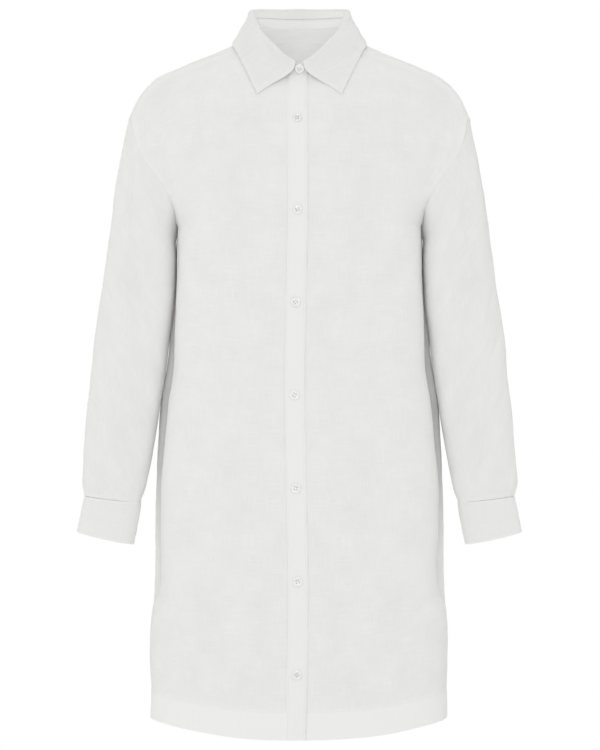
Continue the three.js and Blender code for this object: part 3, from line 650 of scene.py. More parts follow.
def stitchTree():
    tree = bpy.data.node_groups.new("stitchRows", "GeometryNodeTree")
    link = tree.links.new
    tree.interface.new_socket("stitches", in_out="OUTPUT", socket_type="NodeSocketGeometry")
    sockets = {}
    for name, kind in (
        ("seamLines", "Geometry"), ("pitch", "Float"), ("length", "Float"), ("radius", "Float"),
        ("unevenness", "Float"), ("seed", "Int"), ("thread", "Material"),
    ):
        made = tree.interface.new_socket(name, in_out="INPUT", socket_type="NodeSocket" + kind)
        sockets[name] = made.identifier
    given = tree.nodes.new("NodeGroupInput").outputs
    result = tree.nodes.new("NodeGroupOutput")
    curve = tree.nodes.new("GeometryNodeMeshToCurve")
    spots = tree.nodes.new("GeometryNodeCurveToPoints")
    spots.mode = "LENGTH"
    outward = tree.nodes.new("GeometryNodeInputNamedAttribute")
    outward.data_type = "FLOAT_VECTOR"
    outward.inputs["Name"].default_value = "outward"
    alongSeam = tree.nodes.new("FunctionNodeAlignRotationToVector")
    alongSeam.axis = "X"
    offCloth = tree.nodes.new("FunctionNodeAlignRotationToVector")
    offCloth.axis = "Z"
    offCloth.pivot_axis = "X"
    form = node(tree, "GeometryNodeMeshUVSphere", Segments=6, Rings=4)
    half = tree.nodes.new("ShaderNodeMath")
    half.operation = "MULTIPLY"
    half.inputs[1].default_value = 0.5
    flat = tree.nodes.new("ShaderNodeMath")
    flat.operation = "MULTIPLY"
    flat.inputs[1].default_value = 0.8
    size = tree.nodes.new("ShaderNodeCombineXYZ")
    shaped = tree.nodes.new("GeometryNodeTransform")
    least = tree.nodes.new("ShaderNodeMath")
    least.operation = "SUBTRACT"
    least.inputs[0].default_value = 1.0
    spread = tree.nodes.new("FunctionNodeRandomValue")
    spread.inputs[3].default_value = 1.0
    placed = tree.nodes.new("GeometryNodeInstanceOnPoints")
    realized = tree.nodes.new("GeometryNodeRealizeInstances")
    painted = tree.nodes.new("GeometryNodeSetMaterial")
    form.inputs["Radius"].default_value = 1.0
    link(given["seamLines"], curve.inputs["Mesh"])
    link(curve.outputs["Curve"], spots.inputs["Curve"])
    link(given["pitch"], spots.inputs["Length"])
    link(spots.outputs["Tangent"], alongSeam.inputs["Vector"])
    link(alongSeam.outputs["Rotation"], offCloth.inputs["Rotation"])
    link(outward.outputs["Attribute"], offCloth.inputs["Vector"])
    link(given["length"], half.inputs[0])
    link(given["radius"], flat.inputs[0])
    link(half.outputs[0], size.inputs[0])
    link(given["radius"], size.inputs[1])
    link(flat.outputs[0], size.inputs[2])
    link(form.outputs["Mesh"], shaped.inputs["Geometry"])
    link(size.outputs[0], shaped.inputs["Scale"])
    link(given["unevenness"], least.inputs[1])
    link(least.outputs[0], spread.inputs[2])
    link(given["seed"], spread.inputs["Seed"])
    link(spots.outputs["Points"], placed.inputs["Points"])
    link(shaped.outputs["Geometry"], placed.inputs["Instance"])
    link(offCloth.outputs["Rotation"], placed.inputs["Rotation"])
    link(spread.outputs[1], placed.inputs["Scale"])
    link(placed.outputs["Instances"], realized.inputs["Geometry"])
    link(realized.outputs["Geometry"], painted.inputs["Geometry"])
    link(given["thread"], painted.inputs["Material"])
    link(painted.outputs["Geometry"], result.inputs["stitches"])
    return tree, sockets


def sewPieces():
    tree, sockets = stitchTree()
    for name, lines in stitchLines.items():
        points, edges, directions = [], [], []
        for linePoints, lineDirections in lines:
            start = len(points)
            points += [tuple(p) for p in (linePoints + lineDirections * 0.05) * mm]
            directions += lineDirections.tolist()
            edges += [(k, k + 1) for k in range(start, len(points) - 1)]
        mesh = bpy.data.meshes.new(name)
        mesh.from_pydata(points, edges, [])
        outward = mesh.attributes.new("outward", "FLOAT_VECTOR", "POINT")
        outward.data.foreach_set("vector", np.array(directions, np.float32).ravel())
        piece = bpy.data.objects.new(name, mesh)
        bpy.context.scene.collection.objects.link(piece)
        modifier = piece.modifiers.new("stitchRows", "NODES")
        modifier.node_group = tree
        for key in ("pitch", "length", "radius"):
            modifier[sockets[key]] = stitch[key] * mm
        modifier[sockets["unevenness"]] = stitch["unevenness"]
        modifier[sockets["seed"]] = stitch["seed"]
        modifier[sockets["thread"]] = thread
        depsgraph = bpy.context.evaluated_depsgraph_get()
        sewn = bpy.data.meshes.new_from_object(piece.evaluated_get(depsgraph))
        piece.modifiers.remove(modifier)
        piece.data = sewn
        sewn.name = name
        sewn.polygons.foreach_set("use_smooth", np.ones(len(sewn.polygons), bool))
        if not sewn.materials:
            sewn.materials.append(thread)
        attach(piece, "root")
    print("stitches sewn:", len(stitchLines), "pieces")


# The fronts and the back
body = {
    "hemPucker": 0.35,
    "wrinkle": 0.55,
    "foldDepth": 1.45,
    "sideFullness": 1.5,
}
lowHeights = np.linspace(torsoRows["z"][0], torsoRows["z"][-1], int(detail["alongBody"] * 0.72))
slitRow = int(np.argmin(np.abs(lowHeights - dress["slitTopZ"])))
lowHeights[slitRow] = dress["slitTopZ"]
highCount = detail["alongBody"] - len(lowHeights)
frontHeights = np.concatenate([lowHeights, np.linspace(lowHeights[-1], dress["neckFrontZ"], highCount + 1)[1:]])
backHeights = np.concatenate([lowHeights, np.linspace(lowHeights[-1], backSeamRows["z"][0], highCount + 1)[1:]])
underarmRow = len(lowHeights) - 1

frontShares = np.linspace(0, 1, detail["acrossFront"] + 1)
backShares = np.linspace(0, 1, detail["acrossBack"] // 2 + 1)


def rightInner(z):
    return dress["placketHalf"] + 0.06 - placketCentre(z)


def leftInner(z):
    return placketCentre(z) + dress["underReach"] + 0.06


rightFront = panelGrid(-1, rightInner, frontShares, frontHeights)
leftFront = panelGrid(-1, leftInner, frontShares, frontHeights)
backRight = panelGrid(1, lambda z: 0.0, backShares, backHeights)
backLeft = backRight.copy()

# Sides meet halfway between the slit and the underarm
for front, behind in ((rightFront, backRight), (leftFront, backLeft)):
    rows = slice(slitRow, underarmRow + 1)
    meeting = (front[rows, -1] + behind[rows, -1]) / 2
    for grid in (front, behind):
        fall = np.linspace(0, 1, grid.shape[1])[None, :, None] ** 12
        grid[rows] += (meeting - grid[rows, -1])[:, None, :] * fall

# Folds by place: x and z from and to, bow, width and depth
frontFolds = {
    "right": [
        (215, -60, 203, -170, 3, 5.5, -1.7),
        (96, -150, 60, -420, 8, 26, -1.4),
        (62, -300, 70, -640, -6, 30, 1.3),
        (118, -420, 108, -720, 5, 24, -1.5),
        (30, -470, 36, -800, 3, 22, -1.2),
        (150, -560, 140, -870, -6, 22, 1.6),
        (80, -640, 92, -880, 4, 20, -1.3),
        (20, -225, 70, -262, -3, 9, -0.7),
        (20, -462, 96, -478, 3, 8, -0.7),
        (22, -585, 84, -622, -4, 9, -0.8),
        (24, -700, 70, -742, 3, 10, -0.8),
        (188, -722, 150, -738, 3, 6, -1.6),
        (186, -745, 132, -790, 5, 10, -1.3),
        (160, -610, 120, -640, 3, 9, -0.8),
        (150, -505, 118, -560, 4, 10, -0.7),
        (110, -60, 96, -150, 3, 14, -0.9),
        (140, -330, 126, -392, 3, 12, -0.8),
    ],
    "left": [
        (214, -62, 202, -176, 3, 5.5, -1.6),
        (90, -170, 66, -460, -8, 28, -1.3),
        (50, -330, 64, -600, 6, 26, 1.2),
        (122, -400, 112, -700, -5, 26, -1.5),
        (34, -520, 30, -850, 3, 20, -1.3),
        (152, -600, 142, -880, 6, 22, 1.5),
        (84, -600, 98, -860, -4, 22, -1.2),
        (16, -345, 74, -372, 3, 9, -0.7),
        (16, -575, 90, -606, -3, 9, -0.8),
        (18, -815, 60, -846, 3, 9, -0.8),
        (188, -724, 146, -744, -3, 7, -1.6),
        (184, -752, 140, -806, -4, 10, -1.2),
        (156, -480, 122, -530, -3, 9, -0.8),
        (104, -62, 92, -160, -3, 14, -0.9),
        (138, -300, 122, -352, 3, 12, -0.8),
        (60, -690, 110, -730, 4, 11, -0.7),
    ],
}


def bodyRelief(grid, folds, seed, side):
    # folds, the doubled hem, seam puckers and the small unevenness of washed linen
    u, v = distances(grid)
    x, z = np.abs(grid[..., 0]), grid[..., 2]
    toSide = u[:, -1:] - u
    height = foldField(x, z, folds) * body["foldDepth"]
    height += body["wrinkle"] * softNoise(u, v, 46, 62, seed) * 1.2
    height += body["wrinkle"] * softNoise(u, v, 17, 24, seed + 1) * 0.55
    height += 0.16 * softNoise(u, v, 6, 9, seed + 2)
    hem = v
    height += body["hemPucker"] * np.exp(-(((hem - dress["hemDepth"]) / 5) ** 2)) * softNoise(u, v, 7, 30, seed + 3)
    height += 0.45 * band(hem, dress["hemDepth"], 0.7)
    height -= 0.35 * np.exp(-(((hem - dress["hemDepth"]) / 1.6) ** 2))
    lowSide = np.exp(-(((toSide - 22) / 13) ** 2)) * band(v, 640, 12)
    height += body["sideFullness"] * lowSide
    flare = softNoise(u, v * 0, 58, 50, seed + 4) * np.clip(1 - hem / 330, 0, 1) ** 1.5
    height += 3.2 * flare
    if side < 0:
        pull = np.exp(-((u / 34) ** 2))
        height += 0.5 * pull * softNoise(u, v, 40, 11, seed + 5)
    seam = np.exp(-((toSide / 12) ** 2))
    height += 0.5 * seam * softNoise(u, v, 30, 13, seed + 6)
    fade = np.minimum(np.clip(toSide / 6, 0, 1), 1)
    above = (np.arange(grid.shape[0]) > slitRow)[:, None]
    height = np.where(above, height * fade, height)
    fromTop = v[-1:] - v
    height = height * np.clip(fromTop / 5, 0, 1)
    if side < 0:
        height = height * np.clip(u / 5, 0.25, 1)
    return height


def bodyPlies(grid, side):
    u, v = distances(grid)
    toSide = u[:, -1:] - u
    rows = np.arange(grid.shape[0])[:, None]
    plies = band(v, dress["hemDepth"], 0.8)
    armhole = (rows > underarmRow) * band(toSide, 6, 0.8) * 0.45
    slit = (rows <= slitRow) * band(toSide, 8, 0.8) * 0.8
    topSeam = band(v[-1:] - v, 8, 0.8) * 0.5
    pocket = 0.0
    if side < 0:
        z = grid[..., 2]
        pocket = band(np.abs(toSide - 42), 6, 1.5) * band(np.abs(z + 535), 62, 6) * 0.5
    return np.clip(plies + armhole + slit + topSeam + pocket, 0, 1)


def finishPanel(name, grid, facing, relief, side, nodes):
    plies = bodyPlies(grid, side)
    shaped = grid + normalsOf(grid) * facing * relief[..., None]
    shaped = edgeEase(shaped)
    piece = clothWall(name, shaped, dress["clothWall"], facing, plies=plies)
    slitEnd = slitRow / (shaped.shape[0] - 1)
    sewLine(name + "Stitches", shaped, facing, "first", dress["hemDepth"] - 1.5)
    sewLine(name + "Stitches", shaped, facing, "right", 7.5, (0.0, slitEnd))
    return dressPiece(piece, linen, nodes), shaped


rightRelief = bodyRelief(rightFront, frontFolds["right"], 11, -1)
leftRelief = bodyRelief(leftFront, frontFolds["left"], 41, -1)
frontRight, rightSurface = finishPanel("frontRight", mirrored(rightFront), -1, rightRelief, -1, ["front_right"])
frontLeft, leftSurface = finishPanel("frontLeft", leftFront, 1, leftRelief, -1, ["front_left"])
print("fronts made")

backFolds = [
    (60, -10, 66, -150, 3, 9, -1.5),
    (34, -4, 40, -210, 3, 10, -1.7),
    (96, -40, 100, -200, -3, 12, -1.2),
    (70, -240, 84, -620, 8, 30, -1.8),
    (30, -300, 36, -760, -6, 28, 1.8),
    (130, -330, 122, -700, 6, 26, -1.7),
    (100, -560, 112, -870, -6, 24, 1.7),
    (150, -600, 140, -880, 5, 20, -1.5),
    (20, -640, 14, -880, 3, 22, -1.6),
    (126, -160, 138, -232, 4, 9, -1.5),
    (120, -360, 60, -400, 6, 14, -1.0),
    (140, -430, 90, -470, -5, 14, -0.9),
    (186, -724, 150, -748, 3, 8, -1.4),
]
otherBackFolds = [
    (a + 7, b - 18, c + 4, d - 30, -bow, width * 1.1, depth * 0.85) for a, b, c, d, bow, width, depth in backFolds
]


def backRelief(grid, folds, seed):
    # the back hangs from small gathers under the yoke
    height = bodyRelief(grid, folds, seed, 1)
    u, v = distances(grid)
    fromTop = v[-1:] - v
    gathers = softNoise(u, v * 0, 5.2, 50, seed + 8) * np.exp(-fromTop / 26) * band(u, 105, 12)
    return height + 0.9 * gathers * np.clip(fromTop / 2.5, 0, 1)


rightHalf = mirrored(backRight)
relief = [backRelief(backLeft, backFolds, 71), backRelief(backRight, otherBackFolds, 71)]
middle = 14
blend = np.clip(np.arange(backShares.size) / middle, 0, 1)[None, :]
shared = (relief[0] + relief[1]) / 2
relief = [mix(shared, part, blend * blend * (3 - 2 * blend)) for part in relief]
backGrid = np.concatenate([backLeft[:, :0:-1], rightHalf], axis=1)
backHeight = np.concatenate([relief[0][:, :0:-1], relief[1]], axis=1)
halfPlies = bodyPlies(backRight, 1)
backPlies = np.concatenate([halfPlies[:, :0:-1], halfPlies], axis=1)
backSurface = edgeEase(backGrid + normalsOf(backGrid) * backHeight[..., None])
toYoke = distances(backSurface)[1][-1:] - distances(backSurface)[1]
backPiece = clothWall("backPanel", backSurface, dress["clothWall"], 1, plies=backPlies,
                      thin=1 - 0.5 * np.exp(-((toYoke / 6) ** 2)))
dressPiece(backPiece, linen, ["back"])
sewLine("backStitches", backSurface, 1, "first", dress["hemDepth"] - 1.5)
for edge in ("left", "right"):
    sewLine("backStitches", backSurface, 1, edge, 7.5, (0.0, slitRow / (backSurface.shape[0] - 1)))
print("back made")

# The yoke runs from the back seam over the crest to the front seams and the neck
yokeParts = {"rows": 60, "ridgeShare": 0.55}


def yokeGrid():
    shares = backShares
    half = 14
    outer = backTopCurve(1 - shares)  # from the armhole to the centre back
    position = shares * half
    crest = readRow(crestRows, "share", shares)
    crestPoints = np.stack([crest["x"], crest["y"], crest["z"]], axis=-1)
    onShoulder = position <= 8
    frontShare = np.clip((12 - position) / 12, cornerShare, 1)
    inner = frontTopCurve(leftInner(dress["neckFrontZ"]), frontShare)
    angle = neckSeamAngle + (position - 8) * (math.pi - neckSeamAngle) / 6
    inner = np.where(onShoulder[:, None], inner, neckPoint(angle))
    w = np.linspace(0, 1, yokeParts["rows"] + 1)[:, None, None]
    ridge = yokeParts["ridgeShare"]
    grid = (
        outer * (w - ridge) * (w - 1) / ridge
        + crestPoints * w * (w - 1) / (ridge * (ridge - 1))
        + inner * w * (w - ridge) / (1 - ridge)
    )
    return np.concatenate([grid, mirrored(grid)[:, -2::-1]], axis=1)


yokeBase = yokeGrid()
u, v = distances(yokeBase)
fromEdge = np.minimum(v, v[-1:] - v)
fromArm = np.minimum(u, u[:, -1:] - u)
ease = np.clip(fromEdge / 5, 0, 1) * np.clip(fromArm / 5, 0, 1)
yokeHeight = (0.7 * softNoise(u, v, 30, 22, 91) + 0.3 * softNoise(u, v, 11, 9, 92)) * ease
yokePlies = np.clip(0.35 + band(fromEdge, 8, 0.8) * 0.5 + band(fromArm, 6, 0.8) * 0.3, 0, 1)
yokeSurface = edgeEase(yokeBase + normalsOf(yokeBase) * yokeHeight[..., None])
yokePiece = clothWall("yokePanel", yokeSurface, dress["clothWall"], 1, plies=yokePlies)
dressPiece(yokePiece, linen, ["yoke"])
sewLine("yokeStitches", yokeSurface, 1, "first", 1.8)
sewLine("yokeStitches", yokeSurface - normalsOf(yokeSurface) * dress["clothWall"], -1, "first", 1.8)
for share in ((0.0, 0.245), (0.755, 1.0)):
    sewLine("yokeStitches", yokeSurface, 1, "last", 1.8, share)
print("yoke made")

# Plackets
placketHeights = np.concatenate([frontHeights[:-1], [dress["neckFrontZ"] - 0.2]])


def placketGrid(low, high, count, sink):
    offsets = np.linspace(low, high, count)
    grid = centreStrip(offsets, placketHeights)
    slope = np.gradient(grid, axis=0)
    slope /= np.linalg.norm(slope, axis=-1, keepdims=True)
    inward = np.stack([np.zeros_like(slope[..., 0]), slope[..., 2], -slope[..., 1]], axis=-1)
    sinks = np.asarray(sink)[..., None] if np.ndim(sink) else sink
    return grid + inward * sinks, offsets


placketBase, offsets = placketGrid(-dress["placketHalf"], dress["placketHalf"], 25, -1.2)
u, v = distances(placketBase)
edgeDistance = np.minimum(u, u[:, -1:] - u)
placketHeight = 0.28 * softNoise(u, v, 14, 9, 101) + 0.35 * softNoise(u, v, 40, 30, 102)
placketHeight += 0.25 * softNoise(u, v, 5, 6, 103) * np.exp(-edgeDistance / 3)
placketHeight -= 0.2 * np.exp(-(((edgeDistance - 2.2) / 0.8) ** 2))
placketHeight = placketHeight * 0.8 + 0.1
# its folded edge is proud of the left front, and its sewn edge runs level into the right front
placketHeight -= 0.95 * np.exp(-((u / 1.6) ** 2))
toFold = u[:, -1:] - u
placketHeight -= (0.75 + 0.5 * softNoise(u * 0, v, 9, 17, 104)) * np.exp(-((toFold / 2) ** 2))
placketSurface = placketBase + normalsOf(placketBase) * placketHeight[..., None]
placketPiece = clothWall("placketStrip", placketSurface, dress["pliedWall"], 1, plies=np.ones_like(u),
                         thin=1 - 0.5 * np.exp(-((toFold / 3) ** 2)))
for edge in ("left", "right"):
    sewLine("placketStitches", placketSurface, 1, edge, 2.2)
dressPiece(placketPiece, pliedLinenPaintedShade, ["placket"])
underSinks = 1.1 - 0.95 * np.clip((np.linspace(-10.5, dress["underReach"], 17) - 11.4) / 1.6, 0, 1)
underBase, offsets = placketGrid(-10.5, dress["underReach"], 17, underSinks)
underPiece = clothWall("underPlacketStrip", underBase, dress["pliedWall"], 1,
                       plies=np.ones(underBase.shape[:2]) * 0.6)
dressPiece(underPiece, pliedLinenPaintedShade, ["under_placket"])
print("plackets made")

# Stand and collar, by angle round the neck from the centre front through the right side
collarParts = {"lapOut": 1.2, "lapIn": 1.3, "lapFade": 40.0, "foldRadius": 2.8, "gapHalf": 5.2, "columns": 241, "leafRest": 2.4,
               "frontDip": 2.6, "standRise": 4.0}


def foldAt(angle):
    degrees = np.minimum(np.abs(angle), np.abs(2 * math.pi - angle)) * 180 / math.pi
    fold = readRow(foldRows, "angle", degrees)
    # the fold dips to the stand's top edge at the centre front
    fold["z"] = fold["z"] - collarParts["frontDip"] * np.exp(-((degrees / 12) ** 2))
    return fold


def standLap(angle):
    fromStart = np.clip(1 - angle * 180 / math.pi / collarParts["lapFade"], 0, 1)
    fromEnd = np.clip(1 - (2 * math.pi - angle) * 180 / math.pi / collarParts["lapFade"], 0, 1)
    return fromStart * collarParts["lapOut"] - fromEnd * collarParts["lapIn"]


def ringAtNeck(angle, radius, z):
    return np.stack([-radius * np.sin(angle), -radius * np.cos(angle), z], axis=-1)


def angleOfX(x):
    return -math.asin(x / dress["neckRadius"])


def neckZ(angle):
    return neckPoint(angle)[..., 2]


def standTopZ(angle):
    fold = foldAt(angle)
    return mix(neckZ(angle), fold["z"], fold["standShare"])


topCentre = float(placketCentre(dress["neckFrontZ"]))
startAngle = angleOfX(-collarParts["gapHalf"])
standAngles = np.linspace(angleOfX(topCentre + 12.5), 2 * math.pi + angleOfX(topCentre - 10.5), 260)
standUp = np.linspace(0, 1, 13)[:, None]
fold = foldAt(standAngles)
standRadius = mix(dress["neckRadius"], fold["radius"], standUp * fold["standShare"]) + standLap(standAngles)
# both ends of the stand are rounded off at the top
endDistance = np.minimum(standAngles - standAngles[0], standAngles[-1] - standAngles) * dress["neckRadius"]
corner = 1 - 0.35 * np.clip(1 - endDistance / 7, 0, 1) ** 2
behindNeck = np.clip((np.minimum(standAngles, 2 * math.pi - standAngles) - 0.9) / 0.5, 0, 1)
standBottom = neckZ(standAngles) + 0.06 - 1.3 * behindNeck
fromFront = np.degrees(np.minimum(np.abs(standAngles), np.abs(2 * math.pi - standAngles)))
standTop = standTopZ(standAngles) + collarParts["standRise"] * np.exp(-((fromFront / 9) ** 2))
standZ = mix(standBottom, standTop, standUp * corner)
standGrid = ringAtNeck(np.broadcast_to(standAngles, standZ.shape), standRadius, standZ)
u, v = distances(standGrid)
standGrid = standGrid - normalsOf(standGrid) * (0.15 * softNoise(u, v, 9, 7, 111))[..., None]
standPiece = clothWall("collarStand", standGrid, dress["pliedWall"], -1, plies=np.ones_like(u) * 0.6)
dressPiece(standPiece, pliedLinenPaintedShade, ["stand"])
standInside = standGrid + normalsOf(standGrid) * dress["pliedWall"]
for edge in ("first", "last"):
    sewLine("standStitches", standGrid, -1, edge, 1.8)
    sewLine("standStitches", standInside, 1, edge, 2.6 if edge == "first" else 1.2, (0.12, 0.88))


def bodyDepthAt(x, z):
    # the front surface nearest to each place, seen from the front
    surface = np.concatenate([part.reshape(-1, 3)[::2] for part in (rightSurface, leftSurface, yokeSurface)])
    surface = surface[(surface[:, 1] < 30) & (surface[:, 2] > -120)]
    depths = []
    for px, pz in zip(x, z):
        apart = np.hypot(surface[:, 0] - px, surface[:, 2] - pz)
        near = np.argsort(apart)[:6]
        depths.append(np.average(surface[near, 1], weights=1 / (apart[near] + 0.5)))
    return np.array(depths)


def collarGrid():
    angles = np.linspace(startAngle, 2 * math.pi - startAngle, collarParts["columns"])
    # columns gather towards the front as the leaf lengthens there
    share = np.linspace(-1, 1, collarParts["columns"])
    leaf = readRow(leafRows, "share", 1 - np.abs(share))
    leafPoints = np.stack([np.sign(share) * leaf["x"], leaf["y"], leaf["z"]], axis=-1)
    # in front, the leaf's edge comes to rest on the body
    onBody = np.clip((0.4 - (1 - np.abs(share))) / 0.1, 0, 1)
    rest = bodyDepthAt(leafPoints[:, 0], leafPoints[:, 2]) - collarParts["leafRest"]
    leafPoints[:, 1] = mix(leafPoints[:, 1], np.maximum(leafPoints[:, 1], rest), onBody)
    keys = np.array([0, 1 / 11, 2 / 11, 3 / 11, 4 / 11, 5 / 11, 6 / 11, 7 / 11, 8 / 11, 9 / 11, 10 / 11, 1])
    stops = np.radians([4.73, 14.1, 29, 43.5, 58, 72.2, 90, 108, 126, 144, 162, 180])
    half = smoothThrough(keys, stops, 1 - np.abs(share))
    angles = np.where(share < 0, half, 2 * math.pi - half)
    fold = foldAt(angles)
    lap = standLap(angles)
    join = mix(dress["neckRadius"], fold["radius"], fold["standShare"]) + lap - dress["pliedWall"]
    radius = collarParts["foldRadius"]
    centre = fold["radius"] + lap + radius - dress["pliedWall"]
    top = fold["z"] - radius
    rows = []
    inside = ringAtNeck(angles, join, np.minimum(standTopZ(angles) + 0.05, top - 0.3))
    rollStart = ringAtNeck(angles, centre - radius, top)
    for t in np.linspace(0, 1, 9)[:-1]:
        rows.append(mix(inside, rollStart, t))
    for turn in np.linspace(math.pi, 0, 14):
        rows.append(ringAtNeck(angles, centre + radius * math.cos(turn), top + radius * math.sin(turn)))
    rollEnd = rows[-1]
    outward = np.stack([-np.sin(angles), -np.cos(angles), np.full_like(angles, 0.6)], axis=-1)
    chord = leafPoints - rollEnd
    reach = np.linalg.norm(chord, axis=-1, keepdims=True)
    first = rollEnd - np.array([0, 0, 0.2]) * reach
    towardsFront = np.clip(1 - (1 - np.abs(share)) / 0.25, 0, 1)[:, None]
    second = leafPoints - chord * 0.42 + outward * mix(3.2, 1.2, towardsFront)
    for t in np.linspace(0, 1, 34)[1:]:
        rows.append(rollEnd * (1 - t) ** 3 + first * 3 * t * (1 - t) ** 2 + second * 3 * t * t * (1 - t) + leafPoints * t ** 3)
    return np.array(rows)


collarBase = collarGrid()
u, v = distances(collarBase)
fromLeaf = v[-1:] - v
fromEnds = np.minimum(u, u[:, -1:] - u)
edgeDistance = np.minimum(fromLeaf, fromEnds)
onLeaf = np.clip((v - 26) / 12, 0, 1)
collarHeight = onLeaf * (0.45 * softNoise(u, v, 22, 14, 121) + 0.25 * softNoise(u, v, 7, 6, 122))
collarHeight += 0.3 * onLeaf * np.exp(-fromLeaf / 14) * softNoise(u + v * 0.5, v, 6.5, 34, 124)
collarHeight -= 0.28 * np.exp(-(((edgeDistance - 5) / 0.9) ** 2)) * onLeaf
collarHeight += 0.22 * np.exp(-edgeDistance / 2.5) * onLeaf * (1 + softNoise(u, v, 4, 4, 123))
collarSurface = collarBase - normalsOf(collarBase) * collarHeight[..., None]
collarPlies = np.clip(0.1 + 0.4 * band(edgeDistance, 5), 0, 1)
collarThin = 1 - 0.45 * onLeaf * np.exp(-((edgeDistance / 3) ** 2))
collarPiece = clothWall("collarLeaf", collarSurface, dress["pliedWall"], -1, plies=collarPlies, thin=collarThin)
dressPiece(collarPiece, pliedLinenPaintedShade, ["collar"])
sewLine("collarStitches", collarSurface, -1, "last", 5)
onFront = (v[:, 0] > 30).argmax() / (len(v) - 1)
for edge in ("left", "right"):
    sewLine("collarStitches", collarSurface, -1, edge, 5, (onFront, 1 - 5 / v[-1, 0]))
print("stand and collar made")

# Sleeves and cuffs
sleeveParts = {"roundness": 2.15, "headBlend": 0.14, "cuffOpening": -1.8, "cuffSegments": 16, "spiral": 2.6,
               "foldDepth": 1.7, "lean": 4.0}


def ringPoints(row, angles, grow=0.0):
    power = 2 / sleeveParts["roundness"]
    cosine = np.sign(np.cos(angles)) * np.abs(np.cos(angles)) ** power
    sine = np.sign(np.sin(angles)) * np.abs(np.sin(angles)) ** power
    halfX = (row["outerX"] - row["innerX"]) / 2
    halfZ = (row["outerZ"] - row["innerZ"]) / 2
    scale = 1 + grow / np.hypot(halfX, halfZ)
    return np.stack(
        [
            (row["outerX"] + row["innerX"]) / 2 + halfX * cosine * scale,
            row["midY"] - (row["depth"] + grow) * sine,
            (row["outerZ"] + row["innerZ"]) / 2 + halfZ * cosine * scale,
        ],
        axis=-1,
    )


def armholeEdge(front, behind, over):
    # the body's own edge, from the underarm up the front and down the back, spread evenly
    parts = [front[underarmRow:, -1], over[::-1, 0][1:-1], behind[underarmRow:, -1][::-1]]
    edge = np.concatenate(parts)
    return evenly(edge, np.linspace(0, 1, detail["aroundSleeve"] + 1)[:-1])


def sleeveGrid(edge):
    first = readRow(sleeveRows, "along", 0.0)
    across = np.array([first["outerX"] - first["innerX"], 0, first["outerZ"] - first["innerZ"]]) / 2
    centre = np.array([(first["outerX"] + first["innerX"]) / 2, first["midY"], (first["outerZ"] + first["innerZ"]) / 2])
    off = edge - centre
    angles = np.arctan2(-off[:, 1] / first["depth"], off @ across / (across @ across))
    alongs = np.linspace(0, 1, detail["alongSleeve"] + 1)
    shift = edge - ringPoints(first, angles)
    grid = []
    for along in alongs:
        row = readRow(sleeveRows, "along", along)
        fade = max(1 - along / sleeveParts["headBlend"], 0) ** 2
        grid.append(ringPoints(row, angles) + shift * fade)
    grid = np.array(grid)
    grid[0] += np.array([0.92, 0, -0.4]) * 0.06
    for along, grow in ((0.0, -3.1), (0.12, -3.4)):
        grid = np.concatenate([grid, ringPoints(readRow(cuffRows, "along", along), angles, grow)[None]])
    return grid, angles, alongs


# Sleeve folds: turn round the sleeve in degrees (the front is 90) and distance down it
sleeveFolds = {
    "right": [
        (52, 8, 74, 130, 6, 9, -4.2),
        (60, 60, 100, 210, -8, 12, -2.0),
        (28, 30, 40, 190, 5, 12, 1.6),
        (150, 70, 100, 160, 6, 9, -1.6),
        (172, 60, 120, 122, 4, 7, -1.5),
        (178, 200, 96, 232, 8, 11, -2.2),
        (20, 214, 84, 246, -7, 10, -1.7),
        (176, 258, 110, 300, 8, 11, -2.4),
        (24, 282, 92, 302, 6, 9, -1.6),
        (160, 322, 84, 352, -6, 12, -1.8),
        (30, 350, 80, 380, 5, 10, -1.3),
        (70, 420, 76, 492, 3, 6, -1.5),
        (112, 430, 108, 494, 3, 6, -1.6),
        (40, 440, 44, 494, 2, 5, -1.1),
        (-60, 40, -80, 200, 8, 14, -2.6),
        (-120, 120, -60, 180, 8, 12, -1.8),
        (-176, 230, -90, 262, 8, 12, -2.2),
        (-170, 290, -70, 330, -8, 12, -2.0),
        (-40, 250, -100, 290, 6, 10, -1.5),
        (-90, 400, -84, 492, 3, 7, -1.6),
    ],
}
sleeveFolds["left"] = [
    (a + 4, b - 6, c + 3, d + 8, -bow * 0.8, width * 1.08, depth * 0.92)
    for a, b, c, d, bow, width, depth in sleeveFolds["right"]
]


def sleeveSurface(grid, angles, folds, seed):
    u, v = distances(grid)
    turn = np.degrees(angles)[None, :] + np.zeros_like(v)
    round_ = grid.copy()
    height = foldField(turn * 0.95, v, folds) * sleeveParts["foldDepth"]
    around = (turn + 180) / 360
    wrap = np.cos(around * 2 * math.pi) * 60
    wrapOther = np.sin(around * 2 * math.pi) * 60
    height += 1.0 * softNoise(wrap + wrapOther * 0.3, v, 34, 42, seed)
    height += 0.5 * softNoise(wrapOther, v, 22, 20, seed + 1)
    height += 0.22 * softNoise(wrap * 1.3, v + wrapOther, 8, 9, seed + 2)
    fromCuff = np.maximum(v[-3:-2] - v, 0)
    pleats = softNoise(turn, v * 0, 7.5, 50, seed + 3)
    height += 1.1 * pleats * np.exp(-fromCuff / 22)
    height += 0.9 * np.exp(-(((fromCuff - 16) / 11) ** 2))
    head = np.exp(-v / 16)
    height += 0.35 * head * softNoise(turn * 1.4, v, 9, 30, seed + 4)
    height *= np.clip(v / 7, 0, 1) * np.clip(fromCuff / 2.0, 0.0, 1)
    # where the sleeve lies against the body it stays on its own side
    beside = np.exp(-(((np.abs(turn) - 180) / 50) ** 2)) * band(v, 330, 20)
    height = height * (1 - 0.85 * beside)
    corner = np.exp(-(((np.abs(turn) - 136) / 24) ** 2)) * band(v, 360, 22) * (1 - np.exp(-((v / 70) ** 2)))
    height += sleeveParts["lean"] * corner
    plies = np.clip(band(v, 2, 0.8) * 0.3 + band(fromCuff, 5, 1) * 0.4, 0, 1)
    return round_, height, plies


